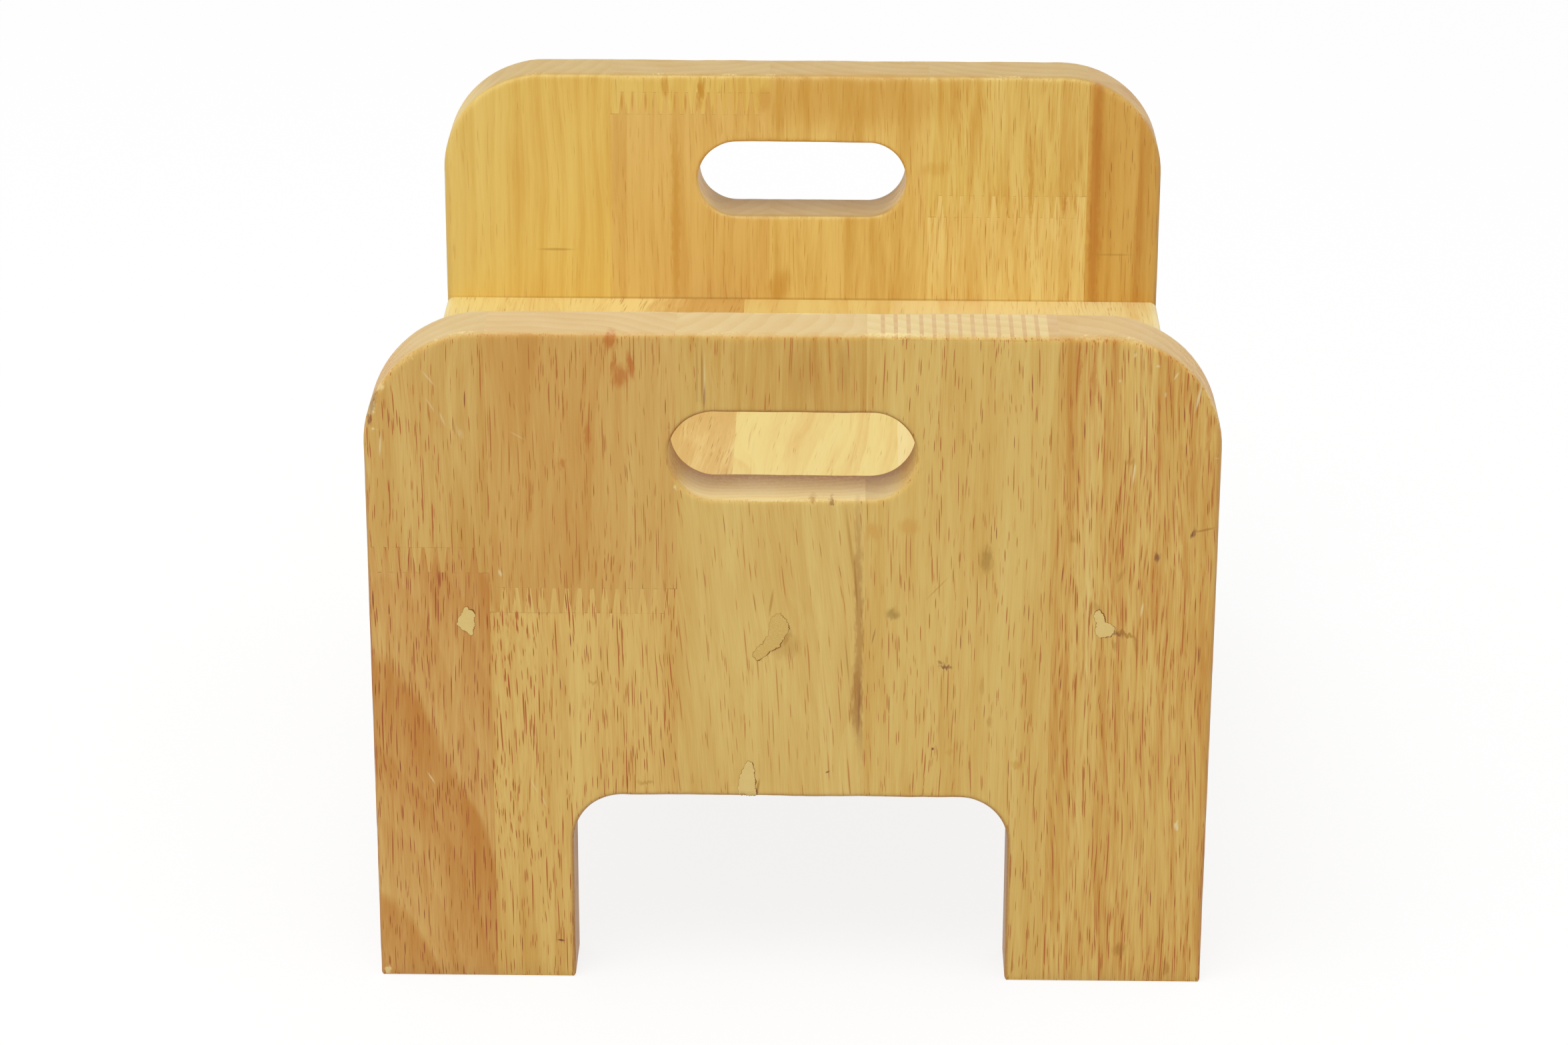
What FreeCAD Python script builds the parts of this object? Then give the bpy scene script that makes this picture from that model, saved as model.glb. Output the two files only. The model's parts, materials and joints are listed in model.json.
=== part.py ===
import FreeCAD, Part
import math
import os
import Sketcher
from FreeCAD import Placement, Rotation, Vector

# Low child's bench stool of edge-glued hardwood: two end panels with a hand slot
# and an arch, and a board seat screwed between them.
# Millimetres. +Z is up, the origin is on the floor under the middle of the stool,
# and the end panels face -Y and +Y.

SIZES = [
    # The whole stool
    ("overall_width", 300),
    ("overall_height", 250),
    ("overall_depth", 350),
    # End panels
    ("panel_thickness", 25),
    ("corner_radius", 42),
    ("panel_arris_width", 2),
    ("arch_width", 157),
    ("arch_height", 73.5),
    ("arch_corner_radius", 18),
    ("arch_arris_width", 1.5),
    ("slot_width", 87),
    ("slot_height", 32),
    ("slot_drop", 45),
    # Seat board, measured up to its top face
    ("seat_height", 152),
    ("seat_thickness", 25),
    ("seat_arris_radius", 3),
    # Staves that the boards are glued up from, and how far the row of seams lies off
    # the middle: to the left on the front panel, to the right on the two others
    ("stave_width", 66.4),
    ("seat_stave_width", 63),
    ("front_seam_shift", 7.4),
    ("back_seam_shift", 19.6),
    ("seat_seam_shift", 7.5),
    # Finger joints: where the fingers start above or below the seat's top face, or
    # below the panel's top edge
    ("finger_length", 9.5),
    ("finger_pitch", 4.46),
    ("finger_tip", 1.1),
    ("finger_shoulder", 3.5),
    ("front_joint_1_rise", 8),
    ("front_joint_2_fall", 7),
    ("front_joint_4_drop", 1.4),
    ("back_joint_2_drop", 17),
    ("back_joint_4_drop", 61),
    # Screws through the panels into the seat, and the filler over their heads
    ("screw_pitch", 113.5),
    ("screw_row_shift", 3.5),
    ("screw_length", 50),
    ("screw_head_diameter", 6.5),
    ("screw_shank_diameter", 3.5),
    ("screw_point_length", 7),
    ("screw_tip_diameter", 0.6),
    ("screw_clearance", 0.1),
    ("plug_depth", 6),
    ("pilot_spare", 2),
    # Filled chip on the front arch's edge, left of the middle
    ("arch_filler_shift", 15.7),
    ("arch_filler_width", 5.5),
    ("arch_filler_height", 13.5),
    ("arch_filler_depth", 3),
    # How far every cutting body runs past what it cuts
    ("overrun", 2),
]

SCREWS_PER_PANEL = 3
SEAMS_PER_BOARD = 4

# Share of an arris within which two edges count as lying together
touch_share = 0.1

# Staves with a finger joint: its height, and the seam beside which the upper length
# keeps its shoulder
FRONT_JOINTS = {1: ("(sizes.seat_height + sizes.front_joint_1_rise)", "right"),
                2: ("(sizes.seat_height - sizes.front_joint_2_fall)", "left"),
                4: ("(sizes.overall_height - sizes.front_joint_4_drop)", "right")}
BACK_JOINTS = {2: ("(sizes.overall_height - sizes.back_joint_2_drop)", "left"),
               4: ("(sizes.overall_height - sizes.back_joint_4_drop)", "left")}

# The front stave that the hand slot cuts right through
SLOTTED_STAVE = 3

# Lengths that several pieces share, worked out from the sheet
PANEL_FACE_Y = "sizes.overall_depth / 2"
SEAT_LENGTH = "(sizes.overall_depth - 2 * sizes.panel_thickness)"
SEAT_UNDERSIDE = "(sizes.seat_height - sizes.seat_thickness)"
SCREW_HEIGHT = "(sizes.seat_height - sizes.seat_thickness / 2)"
FIRST_SCREW_X = f"(-sizes.screw_row_shift - {(SCREWS_PER_PANEL - 1) / 2} * sizes.screw_pitch)"
SLOT_HEIGHT = "(sizes.overall_height - sizes.slot_drop)"
FINGER_FLANK = "(sizes.finger_pitch / 2 - sizes.finger_tip)"
CUT_THICKNESS = "(sizes.panel_thickness + 2 * sizes.overrun)"

doc = FreeCAD.newDocument("bench_stool")
sheet = doc.addObject("Spreadsheet::Sheet", "sizes")
for row, (alias, value) in enumerate(SIZES, start=1):
    sheet.set(f"A{row}", alias)
    sheet.set(f"B{row}", str(value))
    sheet.setAlias(f"B{row}", alias)
doc.recompute()

nodes = []


def measure(expression):
    """The present value of an expression on the sheet."""
    return float(sheet.evalExpression(expression))


def bind(item, expressions):
    """Tie an object's properties to the sheet."""
    for name, expression in expressions.items():
        item.setExpression(name, expression)


def new_body(name):
    body = doc.addObject("PartDesign::Body", name)
    body.Label = name
    return body


def origin_part(body, role):
    """A plane or axis of the body's own origin."""
    return next(item for item in body.Origin.OriginFeatures if item.Role == role)


def new_sketch(body, name, plane):
    sketch = body.newObject("Sketcher::SketchObject", name)
    sketch.AttachmentSupport = [(origin_part(body, plane), "")]
    sketch.MapMode = "FlatFace"
    return sketch


def dimension(sketch, label, kind, places, expression):
    """Add one dimension to a sketch and tie it to the sheet."""
    index = sketch.addConstraint(Sketcher.Constraint(kind, *places, measure(expression)))
    sketch.renameConstraint(index, label)
    sketch.setExpression(f"Constraints.{label}", expression)


def draw_polygon(sketch, corners):
    """Draw a closed outline whose corners are pairs of expressions, none negative."""
    points = [Vector(measure(across), measure(up), 0) for across, up in corners]
    for start, end in zip(points, points[1:] + points[:1]):
        sketch.addGeometry(Part.LineSegment(start, end), False)
    for edge in range(len(corners)):
        following = (edge + 1) % len(corners)
        sketch.addConstraint(Sketcher.Constraint("Coincident", edge, 2, following, 1))
    for edge, (across, up) in enumerate(corners):
        for kind, expression, axis in (("DistanceX", across, -2), ("DistanceY", up, -1)):
            if expression == "0":
                sketch.addConstraint(Sketcher.Constraint("PointOnObject", edge, 1, axis))
            else:
                dimension(sketch, f"{kind}_{edge}", kind, (-1, 1, edge, 1), expression)


def pad(body, sketch, name, length):
    """Thicken a sketch of the XZ plane towards +Y."""
    feature = body.newObject("PartDesign::Pad", name)
    feature.Profile = sketch
    feature.Reversed = True
    feature.setExpression("Length", length)
    return feature


def pattern_along_x(body, feature, name, pitch, count):
    """Repeat a feature along the body's X axis."""
    pattern = body.newObject("PartDesign::LinearPattern", name)
    pattern.Originals = [feature]
    pattern.Direction = (origin_part(body, "X_Axis"), [""])
    pattern.Mode = "Spacing"
    pattern.Occurrences = count
    pattern.setExpression("Offset", pitch)
    body.Tip = pattern
    return pattern


def boolean(kind, name, base, tool):
    result = doc.addObject(f"Part::{kind}", name)
    result.Base = base
    result.Tool = tool
    return result


def keep(item, name):
    """Make an object one of the stool's pieces."""
    item.Label = name
    nodes.append(item)


# End panel blank: outline, hand slot, bevelled arrises and screw holes

def draw_panel_outline(sketch):
    """Outline on the XZ plane: round top corners and an arch between two legs."""
    half, top = measure("sizes.overall_width / 2"), measure("sizes.overall_height")
    leg, arch = measure("sizes.arch_width / 2"), measure("sizes.arch_height")
    corner, bend = measure("sizes.corner_radius"), measure("sizes.arch_corner_radius")
    right = [Vector(leg, 0, 0), Vector(half, 0, 0), Vector(half, top - corner, 0),
             Vector(half - corner, top, 0)]
    left = [Vector(-point.x, point.y, 0) for point in reversed(right)]
    inner_left = [Vector(-leg, arch - bend, 0), Vector(bend - leg, arch, 0)]
    inner_right = [Vector(-point.x, point.y, 0) for point in reversed(inner_left)]
    ring = right + left + inner_left + inner_right
    rounds = {2: (-1, corner), 4: (-1, corner), 8: (1, bend), 10: (1, bend)}
    for edge, start in enumerate(ring):
        end = ring[(edge + 1) % len(ring)]
        if edge in rounds:
            sketch.addGeometry(quarter_turn(start, end, *rounds[edge]), False)
        else:
            sketch.addGeometry(Part.LineSegment(start, end), False)
    return ring, rounds


def quarter_turn(start, end, sense, radius):
    """Quarter circle between two points, bulging outwards (-1) or into the panel (1)."""
    chord = end - start
    outward = Vector(chord.y, -chord.x, 0).normalize()
    rise = radius - (radius ** 2 - (chord.Length / 2) ** 2) ** 0.5
    summit = (start + end) / 2 - outward * sense * rise
    return Part.Arc(start, summit, end) if sense < 0 else Part.Arc(end, summit, start)


def tie_panel_outline(sketch, ring, rounds):
    """Constrain the outline so that the sheet alone sets it."""
    arc_ends = {}
    for edge in rounds:
        arc = sketch.Geometry[edge]
        starts_here = arc.StartPoint.distanceToPoint(ring[edge]) < arc.Radius / 2
        arc_ends[edge] = (1, 2) if starts_here else (2, 1)
    count = len(ring)
    for edge in range(count):
        following = (edge + 1) % count
        out = arc_ends[edge][1] if edge in rounds else 2
        into = arc_ends[following][0] if following in rounds else 1
        joint = "Tangent" if edge in rounds or following in rounds else "Coincident"
        sketch.addConstraint(Sketcher.Constraint(joint, edge, out, following, into))
    for edge in (0, 6):
        sketch.addConstraint(Sketcher.Constraint("PointOnObject", edge, 1, -1))
    for edge in (3, 9):
        sketch.addConstraint(Sketcher.Constraint("Horizontal", edge))
    for edge in (1, 5, 7, 11):
        sketch.addConstraint(Sketcher.Constraint("Vertical", edge))
    sketch.addConstraint(Sketcher.Constraint("Symmetric", 0, 2, 6, 1, -2))
    sketch.addConstraint(Sketcher.Constraint("Symmetric", 0, 1, 6, 2, -2))
    sketch.addConstraint(Sketcher.Constraint("Equal", 2, 4))
    sketch.addConstraint(Sketcher.Constraint("Equal", 8, 10))
    dimension(sketch, "width", "DistanceX", (6, 1, 0, 2), "sizes.overall_width")
    dimension(sketch, "arch_width", "DistanceX", (6, 2, 0, 1), "sizes.arch_width")
    dimension(sketch, "height", "DistanceY", (0, 1, 3, 1), "sizes.overall_height")
    dimension(sketch, "arch_height", "DistanceY", (0, 1, 9, 1), "sizes.arch_height")
    dimension(sketch, "corner", "Radius", (2,), "sizes.corner_radius")
    dimension(sketch, "arch_corner", "Radius", (8,), "sizes.arch_corner_radius")


def draw_slot(sketch):
    """Hand slot on the XZ plane: two straight edges and two half circles."""
    radius = measure("sizes.slot_height / 2")
    reach = measure("sizes.slot_width / 2") - radius
    height = measure(SLOT_HEIGHT)
    low_left, low_right = Vector(-reach, height - radius, 0), Vector(reach, height - radius, 0)
    top_left, top_right = Vector(-reach, height + radius, 0), Vector(reach, height + radius, 0)
    sketch.addGeometry(Part.LineSegment(low_left, low_right), False)
    sketch.addGeometry(Part.Arc(low_right, Vector(reach + radius, height, 0), top_right), False)
    sketch.addGeometry(Part.LineSegment(top_right, top_left), False)
    sketch.addGeometry(Part.Arc(top_left, Vector(-reach - radius, height, 0), low_left), False)
    for edge in range(4):
        sketch.addConstraint(Sketcher.Constraint("Tangent", edge, 2, (edge + 1) % 4, 1))
    sketch.addConstraint(Sketcher.Constraint("Horizontal", 0))
    sketch.addConstraint(Sketcher.Constraint("Symmetric", 1, 3, 3, 3, -2))
    dimension(sketch, "radius", "Radius", (1,), "sizes.slot_height / 2")
    dimension(sketch, "reach", "DistanceX", (3, 3, 1, 3), "sizes.slot_width - sizes.slot_height")
    dimension(sketch, "height", "DistanceY", (-1, 1, 1, 3), SLOT_HEIGHT)


def face_edges(shape):
    """Edges of the panel's two wide faces, sorted into outer, slot and arch ones."""
    thickness = measure("sizes.panel_thickness")
    arch_top, arch_half = measure("sizes.arch_height"), measure("sizes.arch_width / 2")
    slot_half = measure("sizes.slot_width / 2")
    slot_low = measure(f"{SLOT_HEIGHT} - sizes.slot_height / 2")
    slot_top = measure(f"{SLOT_HEIGHT} + sizes.slot_height / 2")
    near = measure("sizes.panel_arris_width") * touch_share
    found = {"outer": [], "slot": [], "arch": []}
    for number, edge in enumerate(shape.Edges, start=1):
        box = edge.BoundBox
        on_face = box.YLength < near and (box.YMin < near or box.YMax > thickness - near)
        if not on_face or box.ZMax < near:
            continue
        wide = max(abs(box.XMin), abs(box.XMax))
        if box.ZMin > slot_low - near and box.ZMax < slot_top + near and wide < slot_half + near:
            found["slot"].append(f"Edge{number}")
        elif box.ZMax < arch_top + near and wide < arch_half + near:
            found["arch"].append(f"Edge{number}")
        else:
            found["outer"].append(f"Edge{number}")
    return found


def ease_edges(body, kind, feature, name, edges, size):
    """Bevel a body's edges with a Chamfer or round them with a Fillet."""
    eased = body.newObject(f"PartDesign::{kind}", name)
    eased.Base = (feature, edges)
    eased.setExpression("Size" if kind == "Chamfer" else "Radius", size)
    doc.recompute()
    return eased


def drill_row(body, name, corners, place, turned=False):
    """Turn one hole of the row out of the body and repeat it at the screws' pitch."""
    sketch = new_sketch(body, f"{name}_profile", "YZ_Plane")
    if turned:
        sketch.AttachmentOffset = Placement(Vector(), Rotation(Vector(0, 1, 0), 180))
    bind(sketch, {f"AttachmentOffset.Base.{axis}": value for axis, value in place.items()})
    draw_polygon(sketch, corners)
    groove = body.newObject("PartDesign::Groove", name)
    groove.Profile = sketch
    groove.ReferenceAxis = (sketch, ["H_Axis"])
    groove.Angle = 360
    doc.recompute()
    return pattern_along_x(body, groove, f"{name}_row", "sizes.screw_pitch", SCREWS_PER_PANEL)


def screw_hole_corners():
    """Half section of a panel's hole: filler bore, seat of the head, clearance hole."""
    head = "sizes.screw_head_diameter / 2"
    shaft = "sizes.screw_shank_diameter / 2 + sizes.screw_clearance"
    seat = "sizes.overrun + sizes.plug_depth"
    throat = f"{seat} + {head} - ({shaft})"
    through = "sizes.panel_thickness + 2 * sizes.overrun"
    return [("0", "0"), (through, "0"), (through, shaft), (throat, shaft), (seat, head), ("0", head)]


def build_panel_blank():
    """The front panel as one board, before it is told apart into its staves."""
    body = new_body("panel_blank")
    bind(body, {"Placement.Base.y": f"-{PANEL_FACE_Y}"})
    outline = new_sketch(body, "panel_outline", "XZ_Plane")
    tie_panel_outline(outline, *draw_panel_outline(outline))
    board = pad(body, outline, "panel_board", "sizes.panel_thickness")
    slot = new_sketch(body, "hand_slot_outline", "XZ_Plane")
    draw_slot(slot)
    pocket = body.newObject("PartDesign::Pocket", "hand_slot")
    pocket.Profile = slot
    pocket.Type = "ThroughAll"
    doc.recompute()
    check_removed(board, pocket)
    found = face_edges(pocket.Shape)
    outside = found["outer"] + found["slot"]
    eased = ease_edges(body, "Chamfer", pocket, "panel_arris", outside, "sizes.panel_arris_width")
    inside = face_edges(eased.Shape)["arch"]
    eased = ease_edges(body, "Chamfer", eased, "arch_arris", inside, "sizes.arch_arris_width")
    place = {"x": "-sizes.overrun", "y": SCREW_HEIGHT, "z": FIRST_SCREW_X}
    drilled = drill_row(body, "screw_hole", screw_hole_corners(), place)
    doc.recompute()
    check_removed(eased, drilled)
    return body


def check_removed(before, after):
    """Stop if a cut missed the solid."""
    removed = before.Shape.Volume - after.Shape.Volume
    print(f"{after.Name} removed {removed:.1f} mm3")
    if removed <= 0:
        raise RuntimeError(f"{after.Name} cut nothing")


# Seat blank: a board with rounded long edges and pilot holes in both ends

def build_seat_blank():
    body = new_body("seat_blank")
    bind(body, {"Placement.Base.x": "-sizes.overall_width / 2",
                "Placement.Base.y": f"-{SEAT_LENGTH} / 2", "Placement.Base.z": SEAT_UNDERSIDE})
    outline = new_sketch(body, "seat_section", "XZ_Plane")
    width, thickness = "sizes.overall_width", "sizes.seat_thickness"
    draw_polygon(outline, [("0", "0"), (width, "0"), (width, thickness), ("0", thickness)])
    board = pad(body, outline, "seat_board", SEAT_LENGTH)
    doc.recompute()
    length = measure(SEAT_LENGTH)
    near = measure("sizes.seat_arris_radius") * touch_share
    long_edges = [f"Edge{number}" for number, edge in enumerate(board.Shape.Edges, start=1)
                  if edge.BoundBox.YLength > length - near]
    rounded = ease_edges(body, "Fillet", board, "seat_arris", long_edges, "sizes.seat_arris_radius")
    radius = "sizes.screw_shank_diameter / 2 + sizes.screw_clearance"
    bite = "sizes.screw_length - sizes.panel_thickness + sizes.plug_depth"
    depth = f"sizes.overrun + {bite} + sizes.pilot_spare"
    corners = [("0", "0"), (depth, "0"), (depth, radius), ("0", radius)]
    first = f"sizes.overall_width / 2 + {FIRST_SCREW_X}"
    middle = "sizes.seat_thickness / 2"
    front = drill_row(body, "front_pilot", corners, {"x": "-sizes.overrun", "y": middle, "z": first})
    doc.recompute()
    check_removed(rounded, front)
    far = f"{SEAT_LENGTH} + sizes.overrun"
    back = drill_row(body, "back_pilot", corners, {"x": far, "y": middle, "z": first}, turned=True)
    doc.recompute()
    check_removed(front, back)
    return body


# Staves: strips cut out of a blank, some of them finger-jointed from two lengths

def seams(shift, width):
    """Left and right edge of each stave of a board, as expressions in x."""
    edges = ["-sizes.overall_width / 2 - sizes.overrun"]
    for seam in range(SEAMS_PER_BOARD):
        edges.append(f"{shift} + ({seam - (SEAMS_PER_BOARD - 1) / 2}) * {width}")
    edges.append("sizes.overall_width / 2 + sizes.overrun")
    return list(zip(edges, edges[1:]))


def strip(name, left, right, front, depth, low, high):
    """A plain box that takes one stave out of a blank."""
    box = doc.addObject("Part::Box", name)
    bind(box, {"Length": f"({right}) - ({left})", "Width": depth, "Height": f"({high}) - ({low})",
               "Placement.Base.x": left, "Placement.Base.y": front, "Placement.Base.z": low})
    return box


def finger_board(name, left, right, shoulder, front, joint):
    """A length whose upper end has fingers, laid out from the seam with the low shoulder.

    Between two seams they stop at a second shoulder, and in an outer stave they run
    out past the board's edge.
    """
    body = new_body(name)
    seam, far_edge = left, right
    if shoulder == "right":
        seam, far_edge = right, left
        body.Placement = Placement(Vector(), Rotation(Vector(0, 0, 1), 180))
        front = f"{front} + {CUT_THICKNESS}"
    bind(body, {"Placement.Base.x": seam, "Placement.Base.y": front, "Placement.Base.z": "-sizes.overrun"})
    root, tip = f"{joint} + sizes.overrun", f"{joint} + sizes.overrun + sizes.finger_length"
    width, start, pitch = f"(({right}) - ({left}))", "sizes.finger_shoulder", "sizes.finger_pitch"
    strip_sketch = new_sketch(body, f"{name}_strip", "XZ_Plane")
    draw_polygon(strip_sketch, [("0", "0"), (width, "0"), (width, root), ("0", root)])
    pad(body, strip_sketch, f"{name}_board", CUT_THICKNESS)
    finger = new_sketch(body, f"{name}_finger_outline", "XZ_Plane")
    draw_polygon(finger, [(start, root), (f"{start} + {pitch} - sizes.finger_tip", root),
                          (f"{start} + {FINGER_FLANK} + sizes.finger_tip", tip),
                          (f"{start} + {FINGER_FLANK}", tip)])
    fingers = pad(body, finger, f"{name}_finger", CUT_THICKNESS)
    doc.recompute()
    if abs(measure(far_edge)) > measure("sizes.overall_width / 2"):
        count = math.ceil((measure(width) - measure(start)) / measure(pitch))
        pattern_along_x(body, fingers, f"{name}_fingers", pitch, count)
    else:
        count = int((measure(width) - 2 * measure(start) - measure(FINGER_FLANK)) / measure(pitch))
        end = f"{start} + {count} * {pitch}"
        block = new_sketch(body, f"{name}_shoulder_outline", "XZ_Plane")
        draw_polygon(block, [(end, root), (width, root), (width, tip), (f"{end} + {FINGER_FLANK}", tip)])
        pattern_along_x(body, fingers, f"{name}_fingers", pitch, count)
        doc.recompute()
        body.Tip = pad(body, block, f"{name}_shoulder", CUT_THICKNESS)
    print(f"{name}: {count} fingers")
    return body


def cut_staves(panel, blank, front, joints, shift, slotted=None):
    """Take a panel's blank apart into its staves."""
    low, high = "-sizes.overrun", "sizes.overall_height + sizes.overrun"
    for number, (left, right) in enumerate(seams(shift, "sizes.stave_width"), start=1):
        name = f"{panel}_stave_{number}"
        if number in joints:
            joint, shoulder = joints[number]
            lower = finger_board(f"{name}_length", left, right, shoulder, front, joint)
            box = strip(f"{name}_top_strip", left, right, front, CUT_THICKNESS, joint, high)
            keep(boolean("Common", f"{name}_lower", blank, lower), f"{name}_lower")
            upper_part = boolean("Common", f"{name}_upper_part", blank, box)
            keep(boolean("Cut", f"{name}_upper", upper_part, lower), f"{name}_upper")
        elif number == slotted:
            for end, ends in (("lower", (low, SLOT_HEIGHT)), ("upper", (SLOT_HEIGHT, high))):
                box = strip(f"{name}_{end}_strip", left, right, front, CUT_THICKNESS, *ends)
                keep(boolean("Common", f"{name}_{end}", blank, box), f"{name}_{end}")
        else:
            box = strip(f"{name}_strip", left, right, front, CUT_THICKNESS, low, high)
            keep(boolean("Common", name, blank, box), name)


def cut_seat_staves(blank):
    front, depth = f"-{SEAT_LENGTH} / 2 - sizes.overrun", f"{SEAT_LENGTH} + 2 * sizes.overrun"
    low, high = f"{SEAT_UNDERSIDE} - sizes.overrun", "sizes.seat_height + sizes.overrun"
    strips = seams("sizes.seat_seam_shift", "sizes.seat_stave_width")
    for number, (left, right) in enumerate(strips, start=1):
        box = strip(f"seat_strip_{number}", left, right, front, depth, low, high)
        keep(boolean("Common", f"seat_stave_{number}", blank, box), f"seat_stave_{number}")


# Filled chip on the arch: its filler, and the stave that holds it

def build_arch_filler(blank):
    """A round-topped plug let into the front face at the arch's edge."""
    body = new_body("arch_filler_plug")
    bind(body, {"Placement.Base.x": "-sizes.arch_filler_shift - sizes.arch_filler_width / 2",
                "Placement.Base.y": f"-{PANEL_FACE_Y} - sizes.overrun",
                "Placement.Base.z": "sizes.arch_height - sizes.overrun"})
    radius = measure("sizes.arch_filler_width / 2")
    side = measure("sizes.overrun + sizes.arch_filler_height") - radius
    right, left = Vector(2 * radius, side, 0), Vector(0, side, 0)
    sketch = new_sketch(body, "arch_filler_outline", "XZ_Plane")
    sketch.addGeometry(Part.LineSegment(Vector(), Vector(2 * radius, 0, 0)), False)
    sketch.addGeometry(Part.LineSegment(Vector(2 * radius, 0, 0), right), False)
    sketch.addGeometry(Part.Arc(right, Vector(radius, side + radius, 0), left), False)
    sketch.addGeometry(Part.LineSegment(left, Vector()), False)
    sketch.addConstraint(Sketcher.Constraint("Coincident", 0, 1, -1, 1))
    sketch.addConstraint(Sketcher.Constraint("Coincident", 0, 2, 1, 1))
    sketch.addConstraint(Sketcher.Constraint("Tangent", 1, 2, 2, 1))
    sketch.addConstraint(Sketcher.Constraint("Tangent", 2, 2, 3, 1))
    sketch.addConstraint(Sketcher.Constraint("Coincident", 3, 2, 0, 1))
    sketch.addConstraint(Sketcher.Constraint("Horizontal", 0))
    sketch.addConstraint(Sketcher.Constraint("Vertical", 1))
    dimension(sketch, "width", "DistanceX", (0, 1, 0, 2), "sizes.arch_filler_width")
    dimension(sketch, "side", "DistanceY", (1, 1, 1, 2),
              "sizes.overrun + sizes.arch_filler_height - sizes.arch_filler_width / 2")
    pad(body, sketch, "arch_filler_body", "sizes.arch_filler_depth + sizes.overrun")
    doc.recompute()
    keep(boolean("Common", "arch_filler", blank, body), "arch_filler")
    for index, stave in enumerate(nodes):
        if stave.Label.startswith("front_stave") and overlaps(stave, body):
            name = stave.Label
            stave.Label = f"{name}_before_filler"
            trimmed = boolean("Cut", f"{name}_trimmed", stave, body)
            trimmed.Label = name
            nodes[index] = trimmed


def overlaps(first, second):
    doc.recompute()
    return first.Shape.common(second.Shape).Volume > 0


# Screws and the filler plugs over their heads, three to a panel

def turned_row(name, corners, height, depth):
    """Turned pieces on the screw axes, their outer end at a depth below the panel's face."""
    body = new_body(f"{name}_row")
    body.AllowCompound = True
    bind(body, {"Placement.Base.x": FIRST_SCREW_X, "Placement.Base.y": f"-{PANEL_FACE_Y} + {depth}",
                "Placement.Base.z": height})
    sketch = new_sketch(body, f"{name}_profile", "YZ_Plane")
    draw_polygon(sketch, corners)
    turned = body.newObject("PartDesign::Revolution", f"{name}_turned")
    turned.Profile = sketch
    turned.ReferenceAxis = (sketch, ["H_Axis"])
    turned.Angle = 360
    doc.recompute()
    pattern_along_x(body, turned, f"{name}_repeat", "sizes.screw_pitch", SCREWS_PER_PANEL)
    return body


def build_screws():
    head, shaft = "sizes.screw_head_diameter / 2", "sizes.screw_shank_diameter / 2"
    tip, length = "sizes.screw_tip_diameter / 2", "sizes.screw_length"
    throat = f"{head} - {shaft}"
    point = f"{length} - sizes.screw_point_length"
    corners = [("0", "0"), (length, "0"), (length, tip), (point, shaft), (throat, shaft), ("0", head)]
    return turned_row("screws", corners, SCREW_HEIGHT, "sizes.plug_depth")


def build_plugs():
    radius, depth = "sizes.screw_head_diameter / 2", "sizes.plug_depth"
    corners = [("0", "0"), (depth, "0"), (depth, radius), ("0", radius)]
    return turned_row("screw_plugs", corners, SCREW_HEIGHT, "0")


def mirrored(source, name):
    """The same piece at the other end of the stool."""
    copy = doc.addObject("Part::Mirroring", name)
    copy.Source = source
    copy.Normal = Vector(0, 1, 0)
    return copy


def build():
    front_blank = build_panel_blank()
    back_blank = mirrored(front_blank, "back_blank")
    seat_blank = build_seat_blank()
    front = f"-{PANEL_FACE_Y} - sizes.overrun"
    back = f"{PANEL_FACE_Y} - sizes.panel_thickness - sizes.overrun"
    cut_staves("front", front_blank, front, FRONT_JOINTS, "-sizes.front_seam_shift", SLOTTED_STAVE)
    cut_staves("back", back_blank, back, BACK_JOINTS, "sizes.back_seam_shift")
    cut_seat_staves(seat_blank)
    build_arch_filler(front_blank)
    for name, row in (("screws", build_screws()), ("screw_plugs", build_plugs())):
        keep(row, f"front_{name}")
        keep(mirrored(row, f"back_{name}"), f"back_{name}")
    doc.recompute()


def check_and_export():
    """Stop on a failed feature or a bad shape, else write every piece."""
    for item in doc.Objects:
        if "Invalid" in item.State or "Error" in item.State:
            raise RuntimeError(f"{item.Name} failed: {item.State}")
    for item in nodes:
        if item.Shape.isNull() or not item.Shape.isValid() or not item.Shape.Solids:
            raise RuntimeError(f"{item.Label} has no valid solid")
    os.makedirs("parts", exist_ok=True)
    for item in nodes:
        item.Shape.exportStep(os.path.join("parts", f"{item.Label}.step"))
        print(f"{item.Label}: {len(item.Shape.Solids)} solid(s), {item.Shape.Volume / 1000:.2f} cm3")
    print(f"{len(nodes)} pieces written")


build()
check_and_export()
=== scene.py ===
# %% [markdown]
# # A low bench stool of edge-glued wood
# Two end panels with round shoulders, a hand slot and an arch carry a flat seat board.
# Every board is glued up from staves, and some staves are finger-jointed from two
# lengths. The construction comes packed from the CAD model. Here each stave gets its
# planed and worn surface, and a finish that behaves like the wood it was sawn from.

# %% Load the fixed frame
import bpy
import json
import math
from mathutils import Matrix, Vector, noise
from mathutils.geometry import delaunay_2d_cdt


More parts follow.
